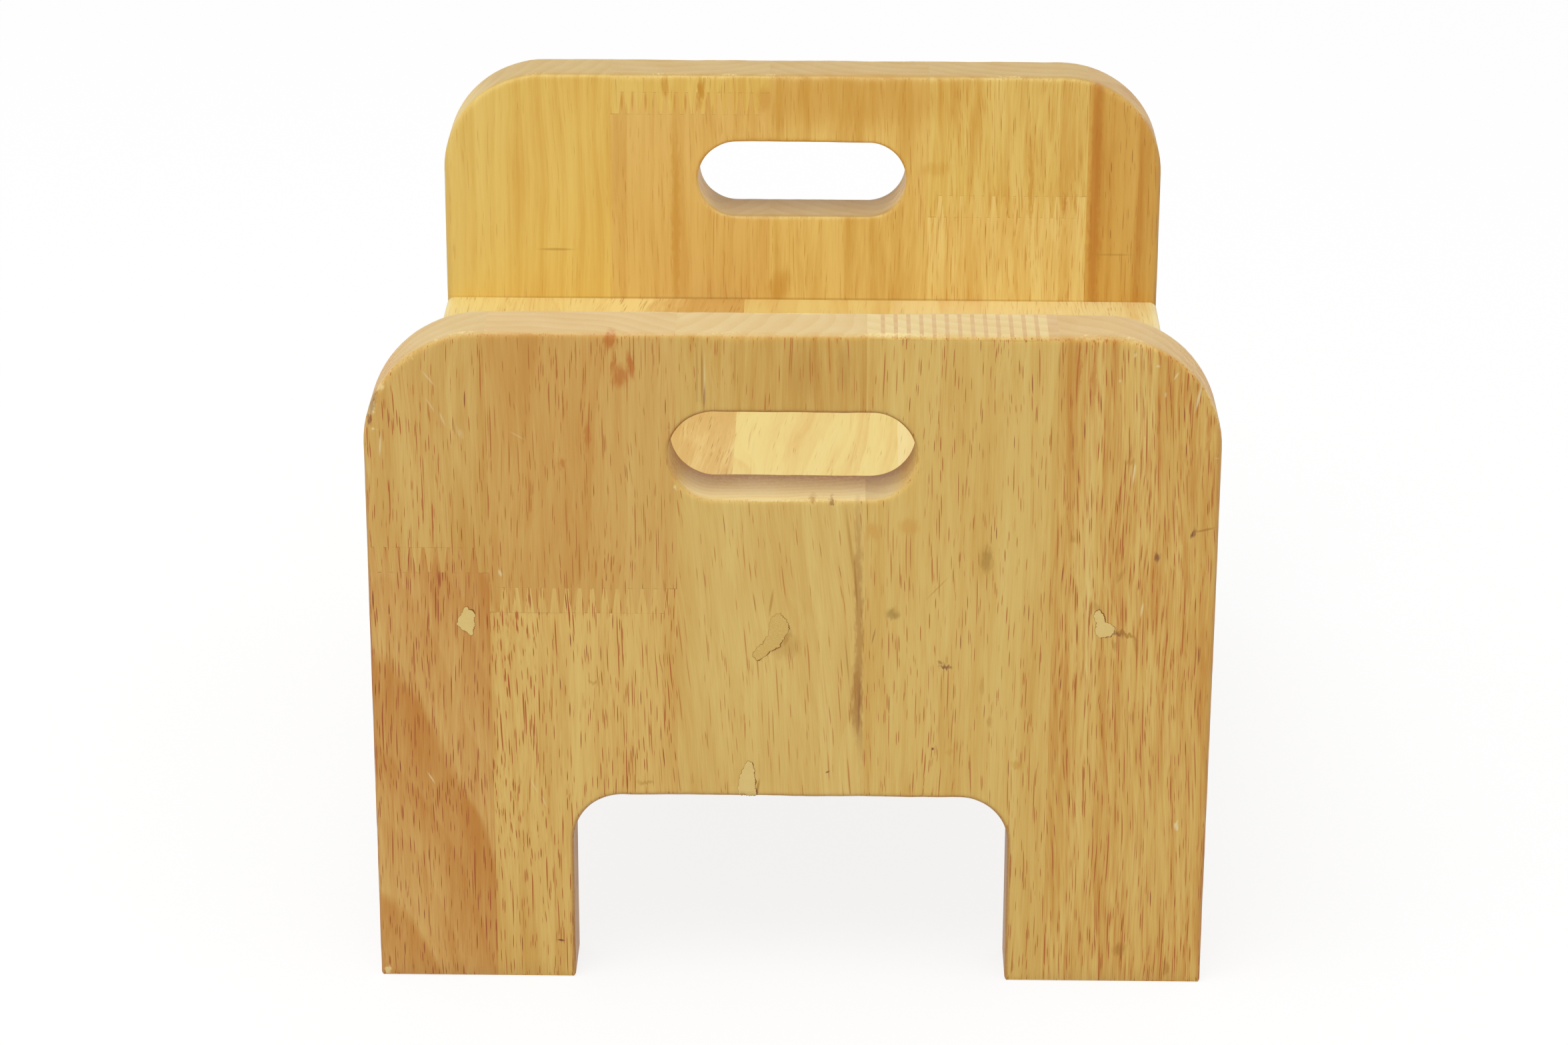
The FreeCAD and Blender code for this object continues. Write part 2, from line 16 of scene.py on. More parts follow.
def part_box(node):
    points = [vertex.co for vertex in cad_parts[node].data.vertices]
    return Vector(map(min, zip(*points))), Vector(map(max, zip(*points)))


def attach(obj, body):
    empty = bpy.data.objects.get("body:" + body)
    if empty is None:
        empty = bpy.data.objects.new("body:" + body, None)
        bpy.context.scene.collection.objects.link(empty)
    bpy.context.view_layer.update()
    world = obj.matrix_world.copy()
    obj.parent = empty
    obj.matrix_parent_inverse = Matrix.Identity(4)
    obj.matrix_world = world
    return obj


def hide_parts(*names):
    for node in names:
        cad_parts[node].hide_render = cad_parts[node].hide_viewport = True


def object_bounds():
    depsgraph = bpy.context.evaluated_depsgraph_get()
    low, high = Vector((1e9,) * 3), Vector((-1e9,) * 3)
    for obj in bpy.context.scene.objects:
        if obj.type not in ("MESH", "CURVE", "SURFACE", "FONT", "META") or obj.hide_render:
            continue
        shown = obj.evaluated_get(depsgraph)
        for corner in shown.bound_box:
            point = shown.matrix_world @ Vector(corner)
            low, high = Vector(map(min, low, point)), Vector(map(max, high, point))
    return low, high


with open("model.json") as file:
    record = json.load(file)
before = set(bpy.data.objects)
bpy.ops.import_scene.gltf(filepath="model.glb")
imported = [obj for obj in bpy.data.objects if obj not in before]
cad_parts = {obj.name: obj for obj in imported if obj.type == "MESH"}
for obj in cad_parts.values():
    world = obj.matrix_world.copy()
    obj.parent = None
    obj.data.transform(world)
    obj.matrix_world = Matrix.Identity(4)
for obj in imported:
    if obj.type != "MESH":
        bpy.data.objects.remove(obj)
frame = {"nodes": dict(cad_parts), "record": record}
cad_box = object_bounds()
print(len(frame["nodes"]), "solids in the frame")

# %% [markdown]
# ## Sizes
# Everything is in metres, in the frame of the CAD model: +Z up, the origin on the floor
# under the middle, the two panels facing -Y and +Y. What the frame can tell is read from
# it: the overall box, the seams between the staves and the heights of the finger joints.
# Only the shapes inside a panel's outline are named again.

# %% Read the sizes
MM = 0.001
HALF_WIDTH, HALF_DEPTH, TOP = cad_box[1]
panel_low, panel_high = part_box("back_stave_1")
THICKNESS = panel_high.y - panel_low.y
seat_low, seat_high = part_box("seat_stave_3")
SEAT_TOP, SEAT_UNDERSIDE, SEAT_END = seat_high.z, seat_low.z, seat_high.y

CORNER_ROUND = 42 * MM
ARCH_HALF, ARCH_TOP, ARCH_ROUND = 78.5 * MM, 73.5 * MM, 18 * MM
SLOT_HALF, SLOT_ROUND, SLOT_MIDDLE = 43.5 * MM, 16 * MM, TOP - 45 * MM
FOOT_ROUND = 1.6 * MM
PANEL_ARRIS, ARCH_ARRIS, SOLE_ARRIS, SEAT_ARRIS = 2.2 * MM, 1.8 * MM, 1 * MM, 3 * MM
FINGER_PITCH, FINGER_TIP, FINGER_SHOULDER = 4.46 * MM, 1.1 * MM, 3.5 * MM


def seams(stave_names):
    """The x of the seams between the staves of a board, left to right."""
    return [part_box(name)[0].x for name in stave_names[1:]]


FRONT_SEAMS = seams(["front_stave_1_lower", "front_stave_2_lower", "front_stave_3_lower",
                     "front_stave_4_lower", "front_stave_5"])
BACK_SEAMS = seams(["back_stave_1", "back_stave_2_lower", "back_stave_3",
                    "back_stave_4_lower", "back_stave_5"])
print("front seams", [round(x / MM, 1) for x in FRONT_SEAMS], "mm")
print("back seams", [round(x / MM, 1) for x in BACK_SEAMS], "mm")

# %% [markdown]
# ## Camera
# The photograph looks down a little on the front panel with a long lens. The camera is
# placed by three angles. Its three axes are worked out from them, because a long lens
# forgives no rounding in a hand-turned camera.

# %% Place the camera
CAMERA_PLACE = Vector((16.17, -1596.1, 747.6)) * MM
CAMERA_YAW, CAMERA_PITCH, CAMERA_ROLL = -0.01332, 0.37986, 0.00331
LENS, SENSOR_WIDTH = 100, 36


def build_camera():
    """The photograph's camera, from its place and three angles."""
    data = bpy.data.cameras.new("photo_camera")
    data.lens, data.sensor_width = LENS, SENSOR_WIDTH
    camera = bpy.data.objects.new("photo_camera", data)
    sight = Vector((math.sin(CAMERA_YAW) * math.cos(CAMERA_PITCH),
                    math.cos(CAMERA_YAW) * math.cos(CAMERA_PITCH), -math.sin(CAMERA_PITCH)))
    right = Vector((math.cos(CAMERA_YAW), -math.sin(CAMERA_YAW), 0))
    up = right.cross(sight)
    rolled_right = math.cos(CAMERA_ROLL) * right + math.sin(CAMERA_ROLL) * up
    rolled_up = -math.sin(CAMERA_ROLL) * right + math.cos(CAMERA_ROLL) * up
    axes = Matrix((rolled_right, rolled_up, -sight)).transposed()
    camera.matrix_world = Matrix.Translation(CAMERA_PLACE) @ axes.to_4x4()
    bpy.context.scene.collection.objects.link(camera)
    bpy.context.scene.camera = camera
    return camera


camera = build_camera()
bpy.context.scene.view_settings.view_transform = "Standard"
print("camera at", [round(x, 3) for x in camera.matrix_world.translation])

# %% [markdown]
# ## Shader sums
# A finish is a node tree. Wiring it node by node hides the idea, so a socket is wrapped
# in a small class: `mask * 0.5` and `1 - mask` then add their own Math nodes. Every other
# node comes from one method that takes its type, its settings and its sockets.

# %% A socket that can stand in a sum


class Wire:
    """A socket of a finish that can stand in a sum."""

    def __init__(self, finish, socket):
        self.finish, self.socket = finish, socket

    def __add__(self, other):
        return self.finish.maths("ADD", self, other)

    def __sub__(self, other):
        return self.finish.maths("SUBTRACT", self, other)

    def __rsub__(self, other):
        return self.finish.maths("SUBTRACT", other, self)

    def __mul__(self, other):
        return self.finish.maths("MULTIPLY", self, other)

    def __abs__(self):
        return self.finish.maths("ABSOLUTE", self)

    __radd__, __rmul__ = __add__, __mul__


# %% [markdown]
# A finish grows from the stool's own coordinates to the Principled shader. Its methods
# name the few kinds of node that wood needs, so that a step of a finish is one line.

# %% A node tree while it is being built


class Finish:
    """A material, or the world, while its node tree is being built."""

    def __init__(self, owner):
        self.owner = owner
        owner.use_nodes = True
        self.tree = owner.node_tree
        self.tree.nodes.clear()

    def node(self, kind, settings=None, inputs=None):
        """Add a node: its settings first, then its sockets. Returns it."""
        node = self.tree.nodes.new(kind)
        for name, value in (settings or {}).items():
            if name == "stops":
                self.set_stops(node.color_ramp, value)
            else:
                setattr(node, name, value)
        for name, value in (inputs or {}).items():
            if isinstance(value, Wire):
                self.tree.links.new(value.socket, node.inputs[name])
            else:
                node.inputs[name].default_value = value
        return node

    def add(self, kind, settings=None, inputs=None, output=0):
        """Add a node and return one of its outputs, or several for a tuple of names."""
        node = self.node(kind, settings, inputs)
        if isinstance(output, tuple):
            return [Wire(self, node.outputs[name]) for name in output]
        return Wire(self, node.outputs[output])

    @staticmethod
    def set_stops(ramp, stops):
        """Set the places and colours of a colour ramp."""
        while len(ramp.elements) < len(stops):
            ramp.elements.new(1)
        for element, (place, colour) in zip(ramp.elements, stops):
            element.position = place
            element.color = colour

    def maths(self, operation, *values):
        """A sum of numbers."""
        return self.add("ShaderNodeMath", {"operation": operation}, dict(enumerate(values)))

    def vector(self, operation, *values):
        """A sum of vectors. Two of the operations give a number."""
        output = "Value" if operation in ("LENGTH", "DOT_PRODUCT") else "Vector"
        return self.add("ShaderNodeVectorMath", {"operation": operation}, dict(enumerate(values)), output)

    def mix(self, factor, first, second, blend="MIX"):
        """Blend two colours. Sockets 0, 6 and 7 are the factor and the two colours."""
        settings = {"data_type": "RGBA", "blend_type": blend}
        return self.add("ShaderNodeMix", settings, {0: factor, 6: first, 7: second}, 2)

    def soft_step(self, value, low, high):
        """0 below low, 1 above high and smooth between, or the reverse if low > high."""
        settings = {"interpolation_type": "SMOOTHSTEP"}
        inputs = {"Value": value, "From Min": low, "From Max": high}
        return self.add("ShaderNodeMapRange", settings, inputs)

    def moved(self, vector, place=(0, 0, 0), turn=(0, 0, 0), scale=(1, 1, 1), kind="POINT"):
        """Stretch, turn and shift coordinates."""
        inputs = {"Vector": vector, "Location": place, "Rotation": turn, "Scale": scale}
        return self.add("ShaderNodeMapping", {"vector_type": kind}, inputs)

    def noise(self, vector, across, along, shift, detail=2.0, roughness=0.5, output="Fac"):
        """Noise with a grain: features `across` mm wide and `along` mm long."""
        stretched = self.moved(vector, shift, scale=(1 / across, 1 / across, 1 / along))
        inputs = {"Vector": stretched, "Scale": 1.0, "Detail": detail, "Roughness": roughness}
        return self.add("ShaderNodeTexNoise", None, inputs, output)

    def in_millimetres(self):
        """The stool's own coordinates in millimetres."""
        place = self.add("ShaderNodeTexCoord", None, None, "Object")
        return self.vector("MULTIPLY", place, (1 / MM, 1 / MM, 1 / MM))

    def attribute(self, name):
        """A number painted on the mesh."""
        return self.add("ShaderNodeAttribute", {"attribute_name": name}, None, "Fac")

    def bump(self, height, strength, depth):
        """A normal bent by a height. depth is in millimetres."""
        inputs = {"Strength": strength, "Distance": depth * MM, "Height": height}
        return self.add("ShaderNodeBump", None, inputs)

    def surface(self, **sockets):
        """Close the tree with a Principled shader."""
        inputs = {name.replace("_", " "): value for name, value in sockets.items()}
        shader = self.add("ShaderNodeBsdfPrincipled", None, inputs)
        self.node("ShaderNodeOutputMaterial", None, {"Surface": shader})
        return self.owner


def new_finish(name):
    """A new material, ready to be built."""
    return Finish(bpy.data.materials.new(name))


# %% [markdown]
# ## Light and floor
# Soft studio light: an even white world, a large lamp above the front and a white floor.
# The camera, and gloss, see the floor as nearly white. It keeps the stool's shadow, because
# part of it stays an ordinary pale surface. To every other ray it is that surface alone,
# so it bounces no more light than real paper would.

# %% Build the light and the floor
WORLD_LIGHT = 0.74
LAMP_POWER, LAMP_SIZE = 16, 1.4
LAMP_PLACE = Vector((-0.45, -0.85, 2.15))
FLOOR_HALF = 6.0
FLOOR_COLOUR = (0.62, 0.62, 0.62, 1)
SHADOW_SHARE, GLOW = 0.19, 1.02
WHITE = (1, 1, 1, 1)


def seen_directly(finish):
    """1 for rays from the camera, from gloss and through glass."""
    rays = ("Is Camera Ray", "Is Glossy Ray", "Is Transmission Ray")
    camera_ray, glossy_ray, clear_ray = finish.add("ShaderNodeLightPath", output=rays)
    return finish.maths("MINIMUM", camera_ray + glossy_ray + clear_ray, 1)


def build_world():
    """White all round. It lights the stool a little less than the camera sees."""
    world = bpy.data.worlds.new("even_light")
    bpy.context.scene.world = world
    finish = Finish(world)
    strength = WORLD_LIGHT + (1 - WORLD_LIGHT) * seen_directly(finish)
    light = finish.add("ShaderNodeBackground", None, {"Color": WHITE, "Strength": strength})
    finish.node("ShaderNodeOutputWorld", None, {"Surface": light})


def build_lamp():
    """A large soft lamp above the front, aimed at the stool's middle."""
    data = bpy.data.lights.new("soft_lamp", "AREA")
    data.energy, data.size = LAMP_POWER, LAMP_SIZE
    lamp = bpy.data.objects.new("soft_lamp", data)
    lamp.location = LAMP_PLACE
    aim = Vector((0, 0, TOP / 2)) - LAMP_PLACE
    lamp.rotation_euler = aim.to_track_quat("-Z", "Y").to_euler()
    bpy.context.scene.collection.objects.link(lamp)


def build_floor():
    """White paper that keeps the stool's shadow."""
    finish = new_finish("floor_paper")
    plain = finish.add("ShaderNodeBsdfDiffuse", None, {"Color": FLOOR_COLOUR})
    pale = finish.add("ShaderNodeBsdfDiffuse", None, {"Color": WHITE})
    glow = finish.add("ShaderNodeEmission", None, {"Color": WHITE, "Strength": GLOW})
    shown = finish.add("ShaderNodeMixShader", None, {0: SHADOW_SHARE, 1: glow, 2: pale})
    mixed = finish.add("ShaderNodeMixShader", None, {0: seen_directly(finish), 1: plain, 2: shown})
    finish.node("ShaderNodeOutputMaterial", None, {"Surface": mixed})
    corners = [(-FLOOR_HALF, -FLOOR_HALF, 0), (FLOOR_HALF, -FLOOR_HALF, 0),
               (FLOOR_HALF, FLOOR_HALF, 0), (-FLOOR_HALF, FLOOR_HALF, 0)]
    mesh = bpy.data.meshes.new("floor")
    mesh.from_pydata(corners, [], [(0, 1, 2, 3)])
    mesh.materials.append(finish.owner)
    floor = bpy.data.objects.new("floor", mesh)
    bpy.context.scene.collection.objects.link(floor)


build_world()
build_lamp()
build_floor()
print("lamp", LAMP_POWER, "W, world", WORLD_LIGHT)

# %% [markdown]
# ## Tones
# A tone is given as it looks on the lit stool, on a screen. A finish needs the colour of
# the surface itself, so the function takes off what the lacquer reflects and divides by
# the light that falls there. The inner face of the back panel gets warm light from the
# seat, so each channel has a number of its own.

# %% Turn tones into surface colours
LIGHT = {"front": (0.75, 0.75, 0.75), "back": (0.81, 0.70, 0.53), "seat": (0.94, 0.86, 0.78),
         "top": (0.97, 0.97, 0.97)}
SHEEN = 0.026
DARKEST, PALEST = 0.004, 0.96


def surface_colour(tone, place="front"):
    """The linear colour of a surface that looks like the tone where it is."""
    linear = [((c / 255 + 0.055) / 1.055) ** 2.4 for c in tone]
    clean = [(c - SHEEN) / light for c, light in zip(linear, LIGHT[place])]
    return tuple(min(PALEST, max(DARKEST, c)) for c in clean) + (1.0,)


# %% [markdown]
# ## The planks
# Light tropical hardwood shows four things: clouds and growth rings in tan on a pale yellow
# ground, soft streaks along the fibres, and many short brown dashes where the saw opened a
# vessel. A picture mapped on the faces would slide over the edges. A solid texture is
# better: it is worked out in millimetres in the plank itself, with the rings as circles
# round a pith somewhere beside the board, so that the end grain on the top edges shows the
# arcs of the same rings that run down the faces.

# %% What every plank has
# tones: pale, middle and deep wood. dash, haze: an opened vessel and the wood round it.
# end: end grain. rings, clouds, streaks: how strongly each shows. ring_gap, ring_start,
# wander: the rings' spacing, shift and unsteadiness. dashes, lines: how many vessels show
# short or long, and how deep. pith: its place, lean: the rings' tilt, turn: the grain's.
# fades: from one x to another the wood gets deeper by a share, so that seams stay quiet.
# soft: how wide the streaks and fibres are.
PLANK = {
    "tones": ((209, 180, 110), (204, 171, 98), (193, 151, 80)), "dash": (164, 88, 32),
    "haze": (190, 134, 66), "end": (228, 201, 146), "rings": 0.2, "ring_gap": 7.0, "ring_start": 0.0,
    "wander": 8.0, "clouds": 0.45, "streaks": 0.5, "dashes": 0.6, "lines": 0.3, "depth": 0.75,
    "hazy": 0.4, "glue": 0.85, "pith": (30, 90), "lean": (0.0, 0.0), "turn": 0.0, "fades": (), "soft": 1.0,
}
print(len(PLANK), "values describe a plank")

# %% [markdown]
# Each plank then says only where it differs. Neighbouring staves seldom come from one tree,
# so their tones, their pith and the turn of their grain are their own.

# %% Describe the planks
# What all staves of a board share
BOARDS = {"front": {}, "back": {"soft": 1.7, "end": (203, 172, 108)}, "seat": {"glue": 0.0}}
PLANKS = {
    "front_stave_1_lower": {
        "tones": ((207, 171, 103), (197, 153, 87), (182, 126, 62)), "haze": (178, 112, 52),
        "dash": (152, 78, 26), "end": (222, 190, 134), "rings": 0.38, "ring_gap": 22.5,
        "ring_start": 0.55, "wander": 4, "clouds": 0.35, "dashes": 1.1, "lines": 0.6, "hazy": 0.7,
        "streaks": 0.4, "depth": 0.9, "pith": (-165, -104), "lean": (0.25, 0.0)},
    "front_stave_1_upper": {
        "tones": ((208, 178, 108), (201, 165, 95), (187, 142, 72)), "dashes": 0.75, "lines": 0.7,
        "hazy": 0.65, "depth": 0.85, "fades": ((-122, -107, 0.15),), "pith": (-150, -60),
        "lean": (0.0, 0.03), "end": (218, 191, 131)},
    "front_stave_2_lower": {
        "tones": ((213, 184, 110), (208, 174, 101), (192, 148, 76)), "dashes": 1.05, "lines": 0.8,
        "hazy": 0.65, "streaks": 0.45, "depth": 0.95, "pith": (-60, -130), "turn": 0.02},
    "front_stave_2_upper": {
        "tones": ((203, 168, 99), (198, 158, 89), (188, 139, 71)), "dash": (160, 94, 44),
        "end": (222, 192, 133), "rings": 0.2, "ring_gap": 6.0, "pith": (-96, -250), "lean": (0.06, 0.0),
        "dashes": 0.65, "lines": 0.7, "hazy": 0.7, "depth": 0.7,
        "fades": ((-107, -85, 0.1), (-78, -41, -0.42))},
    "front_stave_3_lower": {
        "tones": ((214, 188, 120), (209, 179, 107), (198, 160, 88)), "dashes": 0.35, "lines": 0.4,
        "depth": 0.5, "hazy": 0.4, "fades": ((-12, -40, 0.26), (10, 26, 0.15)), "pith": (-10, 60),
        "ring_gap": 3.0, "turn": 0.09, "streaks": 0.4, "end": (249, 229, 168)},
    "front_stave_3_upper": {
        "tones": ((204, 171, 101), (198, 160, 87), (185, 138, 66)), "dashes": 0.45, "lines": 0.6,
        "streaks": 0.7, "hazy": 0.5, "depth": 0.6, "fades": ((-22, -41, -0.2),), "pith": (-95, -125),
        "end": (225, 198, 139)},
    "front_stave_4_lower": {
        "tones": ((211, 183, 112), (207, 175, 101), (195, 152, 78)), "dashes": 0.65, "lines": 0.6,
        "pith": (130, 10), "end": (231, 209, 150), "glue": 0.0},
    "front_stave_4_upper": {
        "tones": ((206, 172, 106), (201, 162, 94), (186, 140, 76)), "end": (218, 184, 130),
        "pith": (130, 60), "glue": 0.0},
    "front_stave_5": {
        "tones": ((213, 186, 114), (206, 171, 96), (186, 134, 63)), "haze": (180, 112, 50),
        "dash": (162, 86, 30), "dashes": 0.85, "lines": 0.8, "hazy": 0.8, "streaks": 0.6, "clouds": 0.6,
        "fades": ((99, 93, 0.22), (138, 150, 0.2)), "pith": (170, -60), "turn": 0.015,
        "end": (219, 187, 127)},
    "back_stave_1": {
        "tones": ((224, 186, 100), (219, 177, 91), (206, 154, 70)), "dash": (196, 136, 62), "dashes": 0.3,
        "lines": 0.3, "depth": 0.3, "hazy": 0.2, "streaks": 0.25, "clouds": 0.55, "pith": (-200, 210),
        "end": (205, 175, 111)},
    "back_stave_2_lower": {
        "tones": ((221, 177, 100), (215, 170, 92), (203, 150, 76)), "dash": (190, 124, 58), "dashes": 0.4,
        "lines": 0.5, "depth": 0.4, "streaks": 0.45, "clouds": 0.6, "pith": (-120, 230),
        "end": (204, 173, 109)},
    "back_stave_2_upper": {
        "tones": ((224, 186, 102), (219, 179, 94), (206, 154, 74)), "dash": (180, 110, 46), "dashes": 0.5,
        "lines": 0.5, "depth": 0.45, "streaks": 0.5, "clouds": 0.6, "pith": (-60, 250),
        "end": (204, 173, 109)},
    "back_stave_3": {
        "tones": ((224, 185, 104), (219, 177, 97), (201, 150, 72)), "dash": (188, 124, 56), "dashes": 0.5,
        "lines": 0.7, "depth": 0.45, "streaks": 0.6, "clouds": 0.75, "pith": (60, 240)},
    "back_stave_4_lower": {
        "tones": ((229, 196, 118), (224, 186, 106), (208, 156, 76)), "dash": (190, 124, 52),
        "dashes": 0.6, "lines": 0.8, "depth": 0.6, "streaks": 0.8, "pith": (90, 230)},
    "back_stave_4_upper": {
        "tones": ((224, 190, 110), (217, 177, 94), (200, 146, 68)), "dash": (188, 122, 52), "dashes": 0.5,
        "lines": 0.8, "depth": 0.5, "streaks": 0.8, "pith": (110, 250)},
    "back_stave_5": {
        "tones": ((210, 161, 82), (204, 152, 73), (184, 120, 53)), "dash": (168, 102, 42), "dashes": 0.4,
        "lines": 0.7, "depth": 0.6, "rings": 0.35, "ring_gap": 16, "pith": (190, 120),
        "end": (208, 174, 112)},
    "seat_stave_1": {
        "tones": ((243, 217, 142), (241, 212, 136), (230, 190, 114)), "dash": (204, 150, 86),
        "dashes": 0.4, "depth": 0.5, "pith": (-150, 20), "end": (232, 204, 150)},
    "seat_stave_2": {
        "tones": ((245, 216, 141), (221, 175, 102), (212, 162, 88)), "dash": (184, 128, 66),
        "dashes": 0.5, "depth": 0.5, "soft": 1.8, "streaks": 0.3, "fades": ((-44, -56, -0.4),),
        "pith": (-60, 60), "turn": -0.10, "end": (228, 198, 144)},
    "seat_stave_3": {
        "tones": ((240, 212, 136), (237, 206, 128), (227, 182, 104)), "dash": (214, 162, 92),
        "dashes": 0.2, "depth": 0.4, "soft": 1.8, "streaks": 0.3, "lines": 0.2, "hazy": 0.25,
        "pith": (-40, -60), "turn": -0.07, "rings": 0.3, "ring_gap": 9, "end": (234, 208, 156)},
    "seat_stave_4": {
        "tones": ((244, 218, 152), (242, 213, 144), (232, 190, 120)), "dash": (214, 162, 92),
        "dashes": 0.2, "depth": 0.4, "soft": 1.8, "streaks": 0.3, "pith": (80, -60), "turn": -0.05,
        "rings": 0.3, "ring_gap": 10, "end": (234, 206, 154)},
    "seat_stave_5": {
        "tones": ((245, 221, 156), (243, 216, 148), (232, 193, 122)), "dash": (204, 152, 88),
        "dashes": 0.45, "depth": 0.5, "pith": (160, 30), "end": (232, 204, 150)},
}


def plank_of(name):
    """All that is known of a plank: what every plank has, its board's values and its own."""
    return {**PLANK, **BOARDS[name.split("_")[0]], **PLANKS[name]}


print(len(PLANKS), "planks")

# %% [markdown]
# Stains, knots and scars are marks at places of their own, and one long mark on the back
# panel is a painted shadow line where the seat meets it. Each is an ellipse on a panel's
# face whose rim is frayed by noise, so that none of them looks stamped.

# %% Describe the marks
RED_BROWN, DARK, STAIN, KNOT = (176, 104, 44), (112, 62, 22), (164, 118, 54), (188, 142, 66)
SMEAR, SEAM_DIRT, DULL = (190, 130, 54), (150, 98, 38), (152, 120, 62)
SCRATCH = (232, 212, 166)

